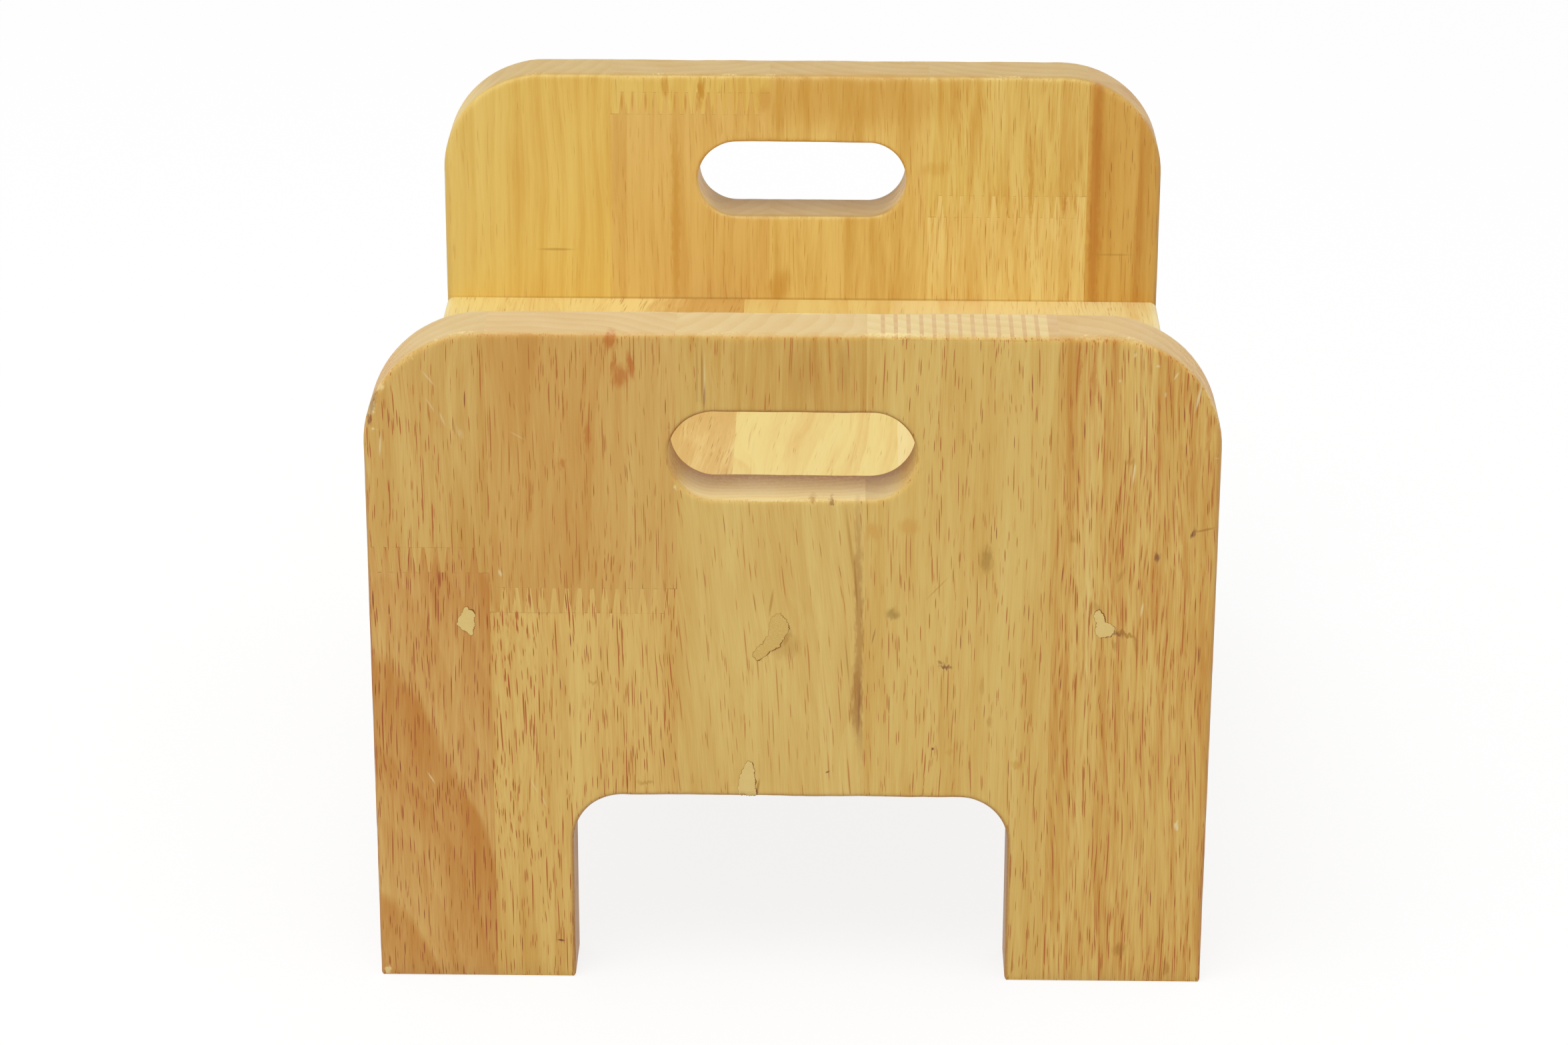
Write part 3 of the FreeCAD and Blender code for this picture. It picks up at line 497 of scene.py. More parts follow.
# Tone, x and z of the middle, half width and half height in millimetres, turn in
# degrees, strength
FRONT_MARKS = [
    (RED_BROWN, -63, 247.5, 2.2, 3.4, 0, 0.8), (RED_BROWN, -59.8, 234.5, 3.0, 4.4, 0, 0.75),
    (RED_BROWN, -56, 238.5, 1.4, 5.0, -6, 0.8), (RED_BROWN, -62, 240, 0.9, 4.0, 6, 0.7),
    (RED_BROWN, -71.5, 212, 1.3, 5.5, 0, 0.6), (RED_BROWN, -80.5, 201.5, 1.2, 2.2, 0, 0.65),
    (DULL, 68.5, 166.5, 2.2, 5.0, 0, 0.75), (DULL, 36, 145.5, 2.4, 2.2, 0, 0.7),
    (DARK, 55, 125.3, 2.2, 0.8, 8, 0.75), (DARK, 53, 127, 1.1, 0.6, 40, 0.5),
    (DARK, 50.8, 93.2, 0.5, 0.55, 0, 0.95), (DARK, 128.7, 168, 1.0, 2.2, 10, 0.75),
    (DARK, 13.2, 83.7, 0.8, 0.35, -30, 0.8), (DARK, -83.7, 15, 1.3, 0.45, 10, 0.9),
    (STAIN, 120, 13, 2.4, 2.8, 0, 0.65), (STAIN, 137.5, 6, 1.1, 3.5, 0, 0.6),
    (DARK, 141, 177.5, 0.8, 2.0, 20, 0.85), (STAIN, 145, 178.6, 3.6, 0.45, -14, 0.8),
    (KNOT, 57, 92, 1.5, 1.4, 0, 0.5), (KNOT, 81, 87, 2.0, 1.9, 0, 0.6), (KNOT, 68, 165, 3.6, 8.0, 0, 0.3),
    (SEAM_DIRT, 24.0, 140, 1.5, 52, -1.0, 0.5), (SEAM_DIRT, 23.4, 112, 2.0, 15, 0, 0.6),
    (DARK, 24.2, 108, 0.4, 10, 1, 0.35), (SEAM_DIRT, 22.6, 158, 0.4, 11, -4, 0.6),
    (SEAM_DIRT, 19.8, 128, 0.3, 9, -5, 0.5), (STAIN, 20.6, 172, 0.6, 14, -7, 0.5),
    (SMEAR, 28.6, 177, 2.6, 3.6, 0, 0.4), (SMEAR, 41, 179, 3.6, 3.2, 0, 0.35),
    (STAIN, -1.5, 132.5, 5.5, 4.5, -30, 0.35), (STAIN, -7.2, 149.5, 0.5, 5.0, 8, 0.6),
    (STAIN, -1.6, 136, 1.0, 3.4, 30, 0.5), (STAIN, 51.5, 155.5, 0.25, 5.5, 42, 0.45),
    (DARK, 29.2, 137.0, 0.3, 3.0, 12, 0.5), (STAIN, 71, 104, 1.0, 2.0, 0, 0.4),
    (DARK, 116.0, 138.9, 2.4, 1.0, 14, 0.7), (STAIN, 119, 138.2, 4.2, 0.8, 22, 0.8),
    (STAIN, 122.3, 133.5, 0.6, 4.2, -8, 0.6), (STAIN, 107.5, 149, 1.6, 2.4, -20, 0.4),
    (STAIN, 114.5, 134, 1.0, 2.0, -10, 0.5), (STAIN, 143, 234, 6.0, 3.0, -35, 0.35),
    (RED_BROWN, 145, 214, 1.0, 9.0, 0, 0.35), (RED_BROWN, 104.5, 233, 1.3, 9.0, 0, 0.45),
    (RED_BROWN, 99.2, 239, 0.8, 8.0, 0, 0.45), (STAIN, 116, 161, 0.9, 3.0, 25, 0.5),
    (STAIN, 68, 118, 0.7, 4.0, 0, 0.35), (DARK, -146.2, 224, 1.2, 5.0, 14, 0.55),
    (DARK, -147.5, 217.5, 0.7, 2.0, 0, 0.6), (STAIN, -52, 79, 3.0, 0.9, 10, 0.5),
    (STAIN, 118, 204, 2.2, 1.2, 0, 0.4), (STAIN, 99, 175, 1.0, 1.6, 0, 0.45),
    (STAIN, 92.4, 240, 0.4, 5.0, 0, 0.5), (DARK, 14.2, 188.0, 1.1, 0.9, 0, 0.6),
    (STAIN, 7.3, 188.4, 1.2, 1.1, 0, 0.6), (STAIN, -70.5, 118, 2.0, 1.0, 20, 0.4),
    (STAIN, -11.9, 77.2, 0.5, 3.4, 10, 0.8), (DARK, -12.1, 75.0, 0.7, 1.6, 20, 0.8),
    (STAIN, -33.2, 236, 0.4, 12, 0, 0.5), (DARK, -31.4, 235, 0.3, 11, 0, 0.5),
    (DARK, -30.6, 227, 0.4, 5, 3, 0.5), (SCRATCH, -30.4, 234, 0.25, 8, 0, 0.35),
    (STAIN, -20, 237, 0.4, 10, 0, 0.35), (STAIN, 4, 236, 7.0, 11, 0, 0.25),
    (STAIN, 18, 238, 2.5, 9, 0, 0.3), (SCRATCH, -126.5, 233, 0.35, 3.2, -38, 0.3),
    (SCRATCH, -126, 223, 0.3, 3.0, -30, 0.28), (SCRATCH, -122, 218, 0.4, 2.6, -20, 0.3),
    (SCRATCH, -116, 213, 1.2, 2.0, -30, 0.2), (SCRATCH, -96, 212, 0.25, 2.8, -60, 0.25),
    (SCRATCH, 139, 63.5, 0.7, 1.5, 20, 0.6), (SCRATCH, 119.5, 200, 0.4, 4.0, 5, 0.55),
    (SCRATCH, -103, 160, 0.6, 1.4, -20, 0.5), (SCRATCH, -129.5, 80, 0.3, 2.4, -30, 0.5),
    (SCRATCH, -92.5, 77, 0.3, 3.0, -25, 0.3), (SCRATCH, -89, 71, 0.35, 2.4, -20, 0.3),
    (SCRATCH, 118.5, 243.5, 0.5, 0.9, 20, 0.45), (SCRATCH, 126.5, 239.5, 0.7, 0.5, 0, 0.45),
    (SCRATCH, 133, 236, 0.4, 1.6, 30, 0.45), (SCRATCH, 129.5, 229, 0.35, 1.0, 0, 0.4),
    (SCRATCH, 113.5, 234, 0.5, 0.6, 0, 0.4), (SCRATCH, 141, 228, 0.5, 5.0, 12, 0.5),
    (SCRATCH, 124, 148, 0.4, 2.6, 8, 0.5), (SCRATCH, -144, 208, 0.4, 4.0, 4, 0.5),
]
BACK_MARKS = [
    (STAIN, -103.5, 173.6, 7.0, 0.6, 0, 0.5), (STAIN, 131, 173, 8.0, 0.5, 0, 0.4),
    (SMEAR, -9.5, 158, 4.5, 8.0, 20, 0.5), (RED_BROWN, 122.5, 200, 2.6, 60, 0, 0.55),
    (SMEAR, -42.5, 243, 1.5, 6.5, 0, 0.8), (SMEAR, -57, 245, 1.8, 5.0, 0, 0.6),
    (SMEAR, -53, 188, 1.8, 46, 0, 0.5), (SMEAR, 56, 210, 7.0, 3.0, 0, 0.25),
    (SMEAR, 95.7, 200, 0.9, 22, 0, 0.5), (SMEAR, -16, 240, 3.0, 6.0, 0, 0.4),
    (RED_BROWN, 110, 195, 1.0, 5.0, 0, 0.5), (RED_BROWN, 114.5, 196, 0.7, 5.0, 0, 0.4),
    # The long thin mark at z 152.3 is a painted shadow line where the seat meets the back panel
    (STAIN, 0, 152.3, 149, 0.6, 0, 0.4), (SMEAR, 20, 240, 40, 14, 0, 0.45),
    (SMEAR, -75.2, 238.5, 0.55, 4.0, 0, 0.65), (SMEAR, -70.8, 239, 0.5, 4.0, 0, 0.5),
    (SMEAR, -65.2, 238.5, 0.6, 4.0, 0, 0.6), (SMEAR, -53.2, 238.6, 0.45, 4.2, 0, 0.5),
    (SMEAR, -48.6, 238.2, 0.5, 4.0, 0, 0.65),
]
print(len(FRONT_MARKS), "marks on the front panel,", len(BACK_MARKS), "on the back panel")

# %% [markdown]
# The functions below turn one plank's description into a finish. The order is the order
# of the wood itself: where a point lies in the plank, how far it is from the pith, the
# clouds and streaks, then the opened vessels, the end grain, the wear and dirt of years
# with painted shade, the marks, and last the lacquer.

# %% Growth rings and opened vessels
# Width and length of a vessel's dash in millimetres, and how dark its middle is
SHORT_DASH, LONG_DASH = (0.60, 12.5), (0.76, 34.0)
DASH_CORE = 0.68


def growth_rings(finish, plank, wavy, sway):
    """The late wood of the growth rings, and of the finer rings between, from 0 to 1."""
    gap = plank["ring_gap"]
    pith_x, pith_y = plank["pith"]
    from_pith = finish.moved(wavy, (-pith_x / gap, -pith_y / gap, 0), (*plank["lean"], 0), (1 / gap,) * 3)
    radius = finish.vector("LENGTH", finish.vector("MULTIPLY", from_pith, (1, 1, 0)))
    phase = finish.maths("FRACT", radius + sway * (plank["wander"] / gap) + plank["ring_start"])
    band = finish.soft_step(phase, 0.1, 0.9) * finish.soft_step(phase, 1.0, 0.93)
    fine_phase = finish.maths("FRACT", radius * 3.0 + sway * 2.0)
    fine = finish.soft_step(fine_phase, 0.0, 0.85) * finish.soft_step(fine_phase, 1.0, 0.88)
    return band, fine


def opened_vessels(finish, place, size, share, shift):
    """Spindles along the grain: how dark each is, and the haze round it."""
    width, length = size
    stretched = finish.moved(place, shift, scale=(1 / width, 1 / width, 1 / length))
    distance, lots = finish.add("ShaderNodeTexVoronoi", None, {"Vector": stretched, "Scale": 1.0},
                                ("Distance", "Color"))
    chosen, size_lot = finish.add("ShaderNodeSeparateColor", None, {0: lots}, ("Red", "Green"))
    darkness = finish.add("ShaderNodeMapRange", None,
                          {"Value": chosen, "From Min": 1 - share, "From Max": 1.0})
    reach = 0.20 + 0.18 * size_lot
    spindle = finish.soft_step(distance, reach, reach * 0.55) * darkness
    haze = finish.soft_step(distance, 0.8, 0.15) * darkness
    return spindle, haze


def with_vessels(finish, plank, place, colour, fibres, cloud_ways, shift):
    """Open the vessels. Returns the colour, and how dark the vessels are."""
    cloud_green = finish.add("ShaderNodeSeparateColor", None, {0: cloud_ways}, "Green")
    open_share = 0.5 + 0.5 * finish.soft_step(cloud_green, 0.34, 0.62)
    short, short_haze = opened_vessels(finish, fibres, SHORT_DASH, plank["dashes"], shift)
    long, long_haze = opened_vessels(finish, fibres, LONG_DASH, plank["lines"], shift[::-1])
    haze = finish.maths("MAXIMUM", short_haze, long_haze) * open_share
    dash = finish.maths("MAXIMUM", short, long * 0.8)
    colour = finish.mix(haze * (0.95 * plank["hazy"]), colour, surface_colour(plank["haze"], place))
    core = tuple(DASH_CORE * c for c in plank["dash"])
    dash_tone = finish.mix(finish.soft_step(dash, 0.85, 1.0), surface_colour(plank["dash"], place),
                           surface_colour(core, place))
    dash_share = finish.soft_step(dash * open_share, 0.0, 0.42)
    return finish.mix(dash_share * plank["depth"], colour, dash_tone), dash


# %% [markdown]
# What lies on top comes next: the end grain where a face cuts across the fibres, bare wood
# and dirt where hands and feet have been, painted shade in the hand slot, along the arch and
# on low edges, glue in the joints, and the marks.

# %% End grain, wear, painted shade and marks
# The deep tone of the end grain, as shares of the pale one
END_DEEP = (0.90, 0.80, 0.60, 1)
BARE_WOOD, GLUE = (230, 205, 148), (126, 80, 38)
# The tint multiplied in where the mesh holds dirt and painted shade
SHADE_AND_GRIME_TINT = (0.47, 0.21, 0.01, 1)
# A mark's rim is frayed by noise, and its ellipse reaches into the wood, in millimetres
FRAY_SIZE, FRAY, MARK_DEPTH = (1.2, 3.6), (3.2, 0, 5.0), 7.0


def with_end_grain(finish, plank, place, colour, band, cloud, fibre):
    """Lay the end grain where a face cuts across the fibres."""
    normal = finish.add("ShaderNodeNewGeometry", output="Normal")
    end_axis = (0, 1, 0) if place == "seat" else (0, 0, 1)
    cut_across = finish.soft_step(abs(finish.vector("DOT_PRODUCT", normal, end_axis)), 0.5, 0.95)
    pale = surface_colour(plank["end"], "top")
    deep = tuple(c * share for c, share in zip(pale, END_DEEP))
    end_share = 0.4 * band + 0.9 * (cloud - 0.3) + 0.6 * (fibre - 0.5)
    return finish.mix(cut_across * 0.88, colour, finish.mix(end_share, pale, deep))


def with_wear(finish, plank, colour, scuff, bare):
    """Lay bare wood, dirt with painted shade, and old glue where the mesh says they are."""
    colour = finish.mix(bare * 0.65, colour, surface_colour(BARE_WOOD))
    # The mesh holds dirt and painted shade: painted shade in the hand slot, along the arch and on the
    # panels' low side edges, dirt on the slot's upper rim, and the seat darker on its outer sides and
    # underside
    grime = finish.attribute("grime") * (0.58 + 0.9 * scuff)
    colour = finish.mix(grime, colour, SHADE_AND_GRIME_TINT, "MULTIPLY")
    if plank["glue"]:
        glue = finish.soft_step(finish.attribute("glue"), 0.25, 0.8) * finish.soft_step(scuff, 0.30, 0.55)
        colour = finish.mix(glue * plank["glue"], colour, surface_colour(GLUE))
    return colour


def marked(finish, colour, in_stool, marks, face, place, shift):
    """Lay the marks over the wood, their rims frayed along the grain."""
    frays = finish.noise(in_stool, *FRAY_SIZE, shift, 3.0, output="Color")
    fray = finish.vector("SUBTRACT", frays, (0.5, 0.5, 0.5))
    frayed = finish.vector("MULTIPLY_ADD", fray, FRAY, in_stool)
    for tone, x, z, half_width, half_height, degrees, strength in marks:
        source = frayed if min(half_width, half_height) > 0.6 else in_stool
        local = finish.moved(source, (x, face / MM, z), (0, math.radians(degrees), 0),
                             (half_width, MARK_DEPTH, half_height), "TEXTURE")
        inside = finish.soft_step(finish.vector("LENGTH", local), 1.4, 0.35)
        colour = finish.mix(inside * strength, colour, surface_colour(tone, place))
    return colour


# %% Build a wood finish
# How far the grain sways, and the sizes of the noises across and along it, in
# millimetres
SWAY, RIPPLE = 7.0, 5.0
SWAY_SIZE, CLOUD_SIZE, SCUFF_SIZE = (34, 120), (18, 90), (1.1, 1.1)
STREAK_WIDTH, STREAK_LENGTH = 3.2, 80
FIBRE_WIDTH, FIBRE_LENGTH = 0.36, 12


def wood_finish(name, seed, plank, marks=(), face=0.0):
    """The finish of one plank. face is the y of the face that carries the marks."""
    place = name.split("_")[0]
    finish = new_finish(name)
    shift = (17.3 * seed, 5.1 * seed, 11.7 * seed)
    in_stool = finish.in_millimetres()
    stand = math.pi / 2 if place == "seat" else 0
    upright = finish.moved(in_stool, (-SWAY / 2, -SWAY / 2, 0), (stand, plank["turn"], 0))
    sway, sway_ways = finish.noise(upright, *SWAY_SIZE, shift, 1.5, output=("Fac", "Color"))
    wavy = finish.vector("MULTIPLY_ADD", sway_ways, (SWAY, SWAY, 0), upright)
    band, fine = growth_rings(finish, plank, wavy, sway)

    cloud, cloud_ways = finish.noise(wavy, *CLOUD_SIZE, shift, 2.0, output=("Fac", "Color"))
    fibres = finish.vector("MULTIPLY_ADD", cloud_ways, (RIPPLE, RIPPLE, 0), wavy)
    streak = finish.noise(fibres, STREAK_WIDTH * plank["soft"], STREAK_LENGTH, shift, 4.0, 0.64)
    fibre = finish.noise(fibres, FIBRE_WIDTH * plank["soft"], FIBRE_LENGTH, shift, 1.0)
    x_place = finish.add("ShaderNodeSeparateXYZ", None, {0: in_stool}, "X")
    fading = sum((amount * finish.soft_step(x_place, start, end)
                  for start, end, amount in plank["fades"]), 0.0)
    tone = (0.5 + fading + plank["rings"] * (band - 0.4 + 0.45 * (fine - 0.45))
            + 1.6 * plank["clouds"] * (cloud - 0.5) + 2.1 * plank["streaks"] * (streak - 0.5)
            + 0.4 / plank["soft"] * (fibre - 0.5))
    pale, middle, deep = (surface_colour(each, place) for each in plank["tones"])
    stops = [(0.05, pale), (0.45, middle), (0.95, deep)]
    colour = finish.add("ShaderNodeValToRGB", {"stops": stops}, {0: tone})

    colour, dash = with_vessels(finish, plank, place, colour, fibres, cloud_ways, shift)
    colour = with_end_grain(finish, plank, place, colour, band, cloud, fibre)
    scuff = finish.noise(in_stool, *SCUFF_SIZE, shift, 3.0, 0.7)
    bare = finish.soft_step(finish.attribute("wear") * 0.75 + scuff * 0.65, 0.62, 0.84)
    colour = with_wear(finish, plank, colour, scuff, bare)
    if marks:
        colour = marked(finish, colour, in_stool, marks, face, place, shift)

    roughness = 0.42 + 0.14 * cloud + 0.12 * dash + 0.2 * bare
    height = fibre * 0.2 - dash * 0.8
    return finish.surface(Base_Color=colour, Roughness=roughness, Normal=finish.bump(height, 0.35, 0.15),
                          Coat_Weight=0.15, Coat_Roughness=0.35)


def marks_near(marks, low, high):
    """The marks that reach into the box of a stave."""
    return [mark for mark in marks
            if low.x / MM - mark[3] < mark[1] < high.x / MM + mark[3]
            and low.z / MM - mark[4] < mark[2] < high.z / MM + mark[4]]


# %% [markdown]
# ## The panels
# A panel is drawn once as a flat pattern, as a joiner would on paper: the outline, the
# slot, the arch, the seams and the fingers. Thin lines beside every edge leave room for the
# rounded arris. A constrained triangulation turns the drawing into triangles, each of which
# belongs to one stave. Then both faces get their height: flat in the middle, and falling
# off in a quarter circle at the edges. Neighbours share the points of their seam, so no
# crack opens however the surface is worn.

# %% Distances inside the flat pattern


def outer_gap(x, z):
    """How far a point lies inside the panel's outer outline."""
    across, up = abs(x) - (HALF_WIDTH - CORNER_ROUND), z - (TOP - CORNER_ROUND)
    if across > 0 and up > 0:
        return CORNER_ROUND - math.hypot(across, up)
    return CORNER_ROUND - max(across, up)


def slot_gap(x, z):
    """How far a point lies outside the hand slot."""
    reach = SLOT_HALF - SLOT_ROUND
    return math.hypot(max(abs(x) - reach, 0), z - SLOT_MIDDLE) - SLOT_ROUND


def arch_gap(x, z):
    """How far a point lies outside the arch."""
    across, up = abs(x) - (ARCH_HALF - ARCH_ROUND), z - (ARCH_TOP - ARCH_ROUND)
    return math.hypot(max(across, 0), max(up, 0)) + min(max(across, up), 0) - ARCH_ROUND


def foot_gap(x, z):
    """How far a point lies inside the small rounds at the feet's corners."""
    outside = abs(x) - (HALF_WIDTH - FOOT_ROUND)
    inside = (ARCH_HALF + FOOT_ROUND) - abs(x)
    across = max(outside, inside)
    if z >= FOOT_ROUND or across <= 0:
        return FOOT_ROUND
    return FOOT_ROUND - math.hypot(across, FOOT_ROUND - z)


def in_wood(x, z):
    """Whether a point of the flat pattern lies in the panel."""
    return z > 0 and min(outer_gap(x, z), slot_gap(x, z), arch_gap(x, z), foot_gap(x, z)) > 0


# %% Draw the contour lines
CONTOUR_STEP = 2.6 * MM
ARRIS_LINES = [inset * MM for inset in (0.0, 0.1, 0.4, 0.9, 1.5, 2.3, 3.3, 5.0)]
SOLE_LINES = [rise * MM for rise in (0.0, 0.3, 1.0)]
TURN_STEP = math.radians(4.5)


def straight(start, end, step=CONTOUR_STEP):
    """Points from start to just before end."""
    count = max(1, math.ceil((end - start).length / step))
    return [start.lerp(end, i / count) for i in range(count)]


def bend(centre, radius, first, last):
    """Points of an arc between two angles, without the last one."""
    count = max(2, math.ceil(abs(last - first) / TURN_STEP))
    angles = [first + (last - first) * i / count for i in range(count)]
    return [centre + radius * Vector((math.cos(a), math.sin(a))) for a in angles]


def shoulder_line(half, top, corner, radius, start_height):
    """Up the left side, over two round corners and down the right side."""
    left, right = Vector((corner - half, top - corner)), Vector((half - corner, top - corner))
    across, level = left.x - radius, top - corner + radius
    points = straight(Vector((across, start_height)), Vector((across, left.y)))
    points += bend(left, radius, math.pi, math.pi / 2)
    points += straight(Vector((left.x, level)), Vector((right.x, level)))
    points += bend(right, radius, math.pi / 2, 0)
    points += straight(Vector((-across, right.y)), Vector((-across, start_height)))
    return points + [Vector((-across, start_height))]


def slot_line(inset):
    """The outline of the hand slot, or a line beside it at an inset."""
    reach, radius = SLOT_HALF - SLOT_ROUND, SLOT_ROUND + inset
    left, right = Vector((-reach, SLOT_MIDDLE)), Vector((reach, SLOT_MIDDLE))
    rise = Vector((0, radius))
    points = bend(left, radius, math.pi * 1.5, math.pi / 2)
    points += straight(left + rise, right + rise)
    points += bend(right, radius, math.pi / 2, -math.pi / 2)
    points += straight(right - rise, left - rise)
    return points + [points[0]]


def foot_lines(side):
    """The round corners of one foot and the lines along its sole."""
    lines = []
    for edge, turn in ((HALF_WIDTH, -1), (ARCH_HALF, 1)):
        middle = Vector((side * (edge + turn * FOOT_ROUND), FOOT_ROUND))
        first = 0 if side * turn < 0 else math.pi
        last = -math.pi / 2 if side * turn < 0 else 1.5 * math.pi
        lines.append(bend(middle, FOOT_ROUND, first, last) + [middle - Vector((0, FOOT_ROUND))])
    for rise in SOLE_LINES:
        inner = Vector((side * (ARCH_HALF + FOOT_ROUND), rise))
        outer = Vector((side * (HALF_WIDTH - FOOT_ROUND), rise))
        lines.append(straight(inner, outer) + [outer])
    return lines


def contour_lines():
    """Every line of the pattern that follows an edge."""
    lines = foot_lines(-1) + foot_lines(1)
    for inset in ARRIS_LINES:
        start = FOOT_ROUND if inset == 0 else 0
        lines.append(shoulder_line(HALF_WIDTH, TOP, CORNER_ROUND, CORNER_ROUND - inset, start))
        lines.append(shoulder_line(ARCH_HALF, ARCH_TOP, ARCH_ROUND, ARCH_ROUND + inset, start))
        lines.append(slot_line(inset))
    return lines


# %% [markdown]
# The fingers are cut by one shaped cutter, so a joint is a zigzag with a steady pitch that
# starts at a shoulder beside one seam. An outer stave was sawn to width after gluing, and
# its fingers run out at the panel's edge. Glue shows as a dark hair wherever a finger
# ends, so a pair of lines close to the roots and the tips keeps that hair thin.

# %% Draw the finger joints
FINGER_FLANK = FINGER_PITCH / 2 - FINGER_TIP
FINGER_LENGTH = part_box("front_stave_1_lower")[1].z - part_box("front_stave_1_upper")[0].z
GLUE_HALF, GLUE_END = 0.16 * MM, 0.2 * MM
TOUCH = 0.01 * MM


def joint_line(left, right, shoulder, root, tip, runs_out):
    """The zigzag between two lengths of a stave, left to right."""
    width = right - left
    if runs_out:
        count = math.ceil((width - FINGER_SHOULDER) / FINGER_PITCH)
    else:
        count = int((width - 2 * FINGER_SHOULDER - FINGER_FLANK) / FINGER_PITCH)
    points = [(0, root)]
    for finger in range(count):
        start = FINGER_SHOULDER + finger * FINGER_PITCH
        points += [(start, root), (start + FINGER_FLANK, tip), (start + FINGER_FLANK + FINGER_TIP, tip),
                   (start + FINGER_PITCH - FINGER_TIP, root)]
    end = FINGER_SHOULDER + count * FINGER_PITCH
    if not runs_out:
        points += [(end, root), (end + FINGER_FLANK, tip), (width, tip)]
    if shoulder == "left":
        return [Vector((left + x, z)) for x, z in points]
    return [Vector((right - x, z)) for x, z in reversed(points)]


def height_on(line, x):
    """The height of a left-to-right line at x."""
    for a, b in zip(line, line[1:]):
        if a.x <= x <= b.x:
            return a.y + (b.y - a.y) * (x - a.x) / max(b.x - a.x, TOUCH ** 2)
    return line[0].y if x < line[0].x else line[-1].y


def joint_lines(panel, seam_places, jointed):
    """The joint of each jointed stave, by its number."""
    edges = [-HALF_WIDTH, *seam_places, HALF_WIDTH]
    lines = {}
    for number, shoulder in jointed.items():
        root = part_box(f"{panel}_stave_{number}_upper")[0].z
        left, right = edges[number - 1], edges[number]
        lines[number] = joint_line(left, right, shoulder, root, root + FINGER_LENGTH, number == 1)
    return lines


def on_glue(line, x, z):
    """Whether a point lies on a flat bit of a joint, at a root or a tip."""
    if not line[0].x - TOUCH < x < line[-1].x + TOUCH or abs(height_on(line, x) - z) > TOUCH:
        return False
    return min(abs(z - line[0].y), abs(z - line[-1].y), abs(abs(z - line[0].y) - FINGER_LENGTH)) < TOUCH


FRONT_JOINTS = joint_lines("front", FRONT_SEAMS, {1: "right", 2: "left", 4: "right"})
BACK_JOINTS = joint_lines("back", BACK_SEAMS, {2: "left", 4: "left"})
print("fingers", round(FINGER_LENGTH / MM, 1), "mm long")

# %% Triangulate the flat pattern
GRID_STEP = 8 * MM
SEAM_STEP = 5 * MM
CDT_GRAIN = 1e-6


def stave_at(x, z, panel, seam_places, joints, slotted):
    """The name of the stave that a point of the pattern belongs to."""
    number = 1 + sum(x > seam for seam in seam_places)
    name = f"{panel}_stave_{number}"
    if number in joints:
        return f"{name}_{'lower' if z < height_on(joints[number], x) else 'upper'}"
    if number == slotted:
        return f"{name}_{'lower' if z < SLOT_MIDDLE else 'upper'}"
    return name


def pattern_lines(seam_places, joints):
    """All lines of the flat pattern: contours, joints, seams and glue."""
    lines = contour_lines() + list(joints.values())
    for seam in seam_places:
        foot, head = Vector((seam, 0)), Vector((seam, TOP))
        lines.append(straight(foot, head, SEAM_STEP) + [head])
    for line in joints.values():
        low, high = min(p.y for p in line), max(p.y for p in line)
        for level in (low, high):
            for step in (-GLUE_HALF, GLUE_HALF):
                lines.append([Vector((line[0].x, level + step)), Vector((line[-1].x, level + step))])
    return lines


def flat_pattern(panel, seam_places, joints, slotted=None):
    """Points of the drawing, and each stave's triangles as triples of point numbers."""
    points, edges = [], []
    for line in pattern_lines(seam_places, joints):
        first = len(points)
        points += line
        edges += [(i, i + 1) for i in range(first, len(points) - 1)]
    for line in joints.values():
        points += [corner + Vector((step, 0)) for corner in line[1:-1] for step in (-GLUE_END, GLUE_END)]
    columns, rows = round(2 * HALF_WIDTH / GRID_STEP), round(TOP / GRID_STEP)
    for column in range(1, columns):
        for row in range(1, rows):
            x, z = -HALF_WIDTH + column * GRID_STEP, row * GRID_STEP
            clear = min(outer_gap(x, z), slot_gap(x, z), arch_gap(x, z))
            if clear > ARRIS_LINES[-1] + 1.5 * MM:
                points.append(Vector((x, z)))
    points, _, triangles, *_ = delaunay_2d_cdt(points, edges, [], 0, CDT_GRAIN, False)
    staves = {}
    for triangle in triangles:
        x = sum(points[i].x for i in triangle) / 3
        z = sum(points[i].y for i in triangle) / 3
        if in_wood(x, z):
            staves.setdefault(stave_at(x, z, panel, seam_places, joints, slotted), []).append(triangle)
    return points, staves


# %% [markdown]
# The photograph shows where the front panel was filled, chipped and rubbed. Those places
# are drawn one by one, in millimetres, because they are this stool's own.

# %% Draw the filler patches, the chips and the bare places
# Filler patches, each an outline of x and z
LEFT_PATCH = [
    (-115.5, 147), (-113.9, 145.6), (-112.4, 144.2), (-112.7, 142.4), (-112.6, 140), (-113.1, 137.6),
    (-113.8, 136), (-115.2, 136.9), (-116.1, 138), (-117.7, 138.9), (-118.6, 140.6), (-118.4, 142.4),
    (-116.8, 144.6), (-116.1, 146.4),
]
MIDDLE_PATCH = [
    (-4.1, 145.4), (-2.2, 143), (-1.1, 140.8), (-1.1, 138.9), (-2.7, 136.1), (-4.1, 133), (-6.9, 131.2),
    (-10, 128.6), (-12.2, 127.4), (-13.6, 129.2), (-12.5, 131.6), (-9.7, 134.6), (-8.2, 138), (-7.6, 142),
    (-6.4, 144.4),
]
RIGHT_PATCH = [
    (108.4, 147.8), (109.6, 147.1), (110.8, 144.6), (111.3, 143.2), (113.2, 142.4), (114.5, 140.6),
    (114, 138.9), (112.2, 137.5), (108.8, 137.6), (107.7, 139), (108.1, 142.2), (106.9, 145.9),
]
ARCH_PATCH = [
    (-14.7, 87.5), (-13.5, 85.6), (-13.1, 82.6), (-12.9, 78.6), (-12.5, 75), (-13.2, 73.6), (-18, 73.6),
    (-18.9, 76.2), (-18.7, 79.9), (-17.4, 84.4), (-16, 87.1),
]
FRONT_PATCHES = [LEFT_PATCH, MIDDLE_PATCH, RIGHT_PATCH]

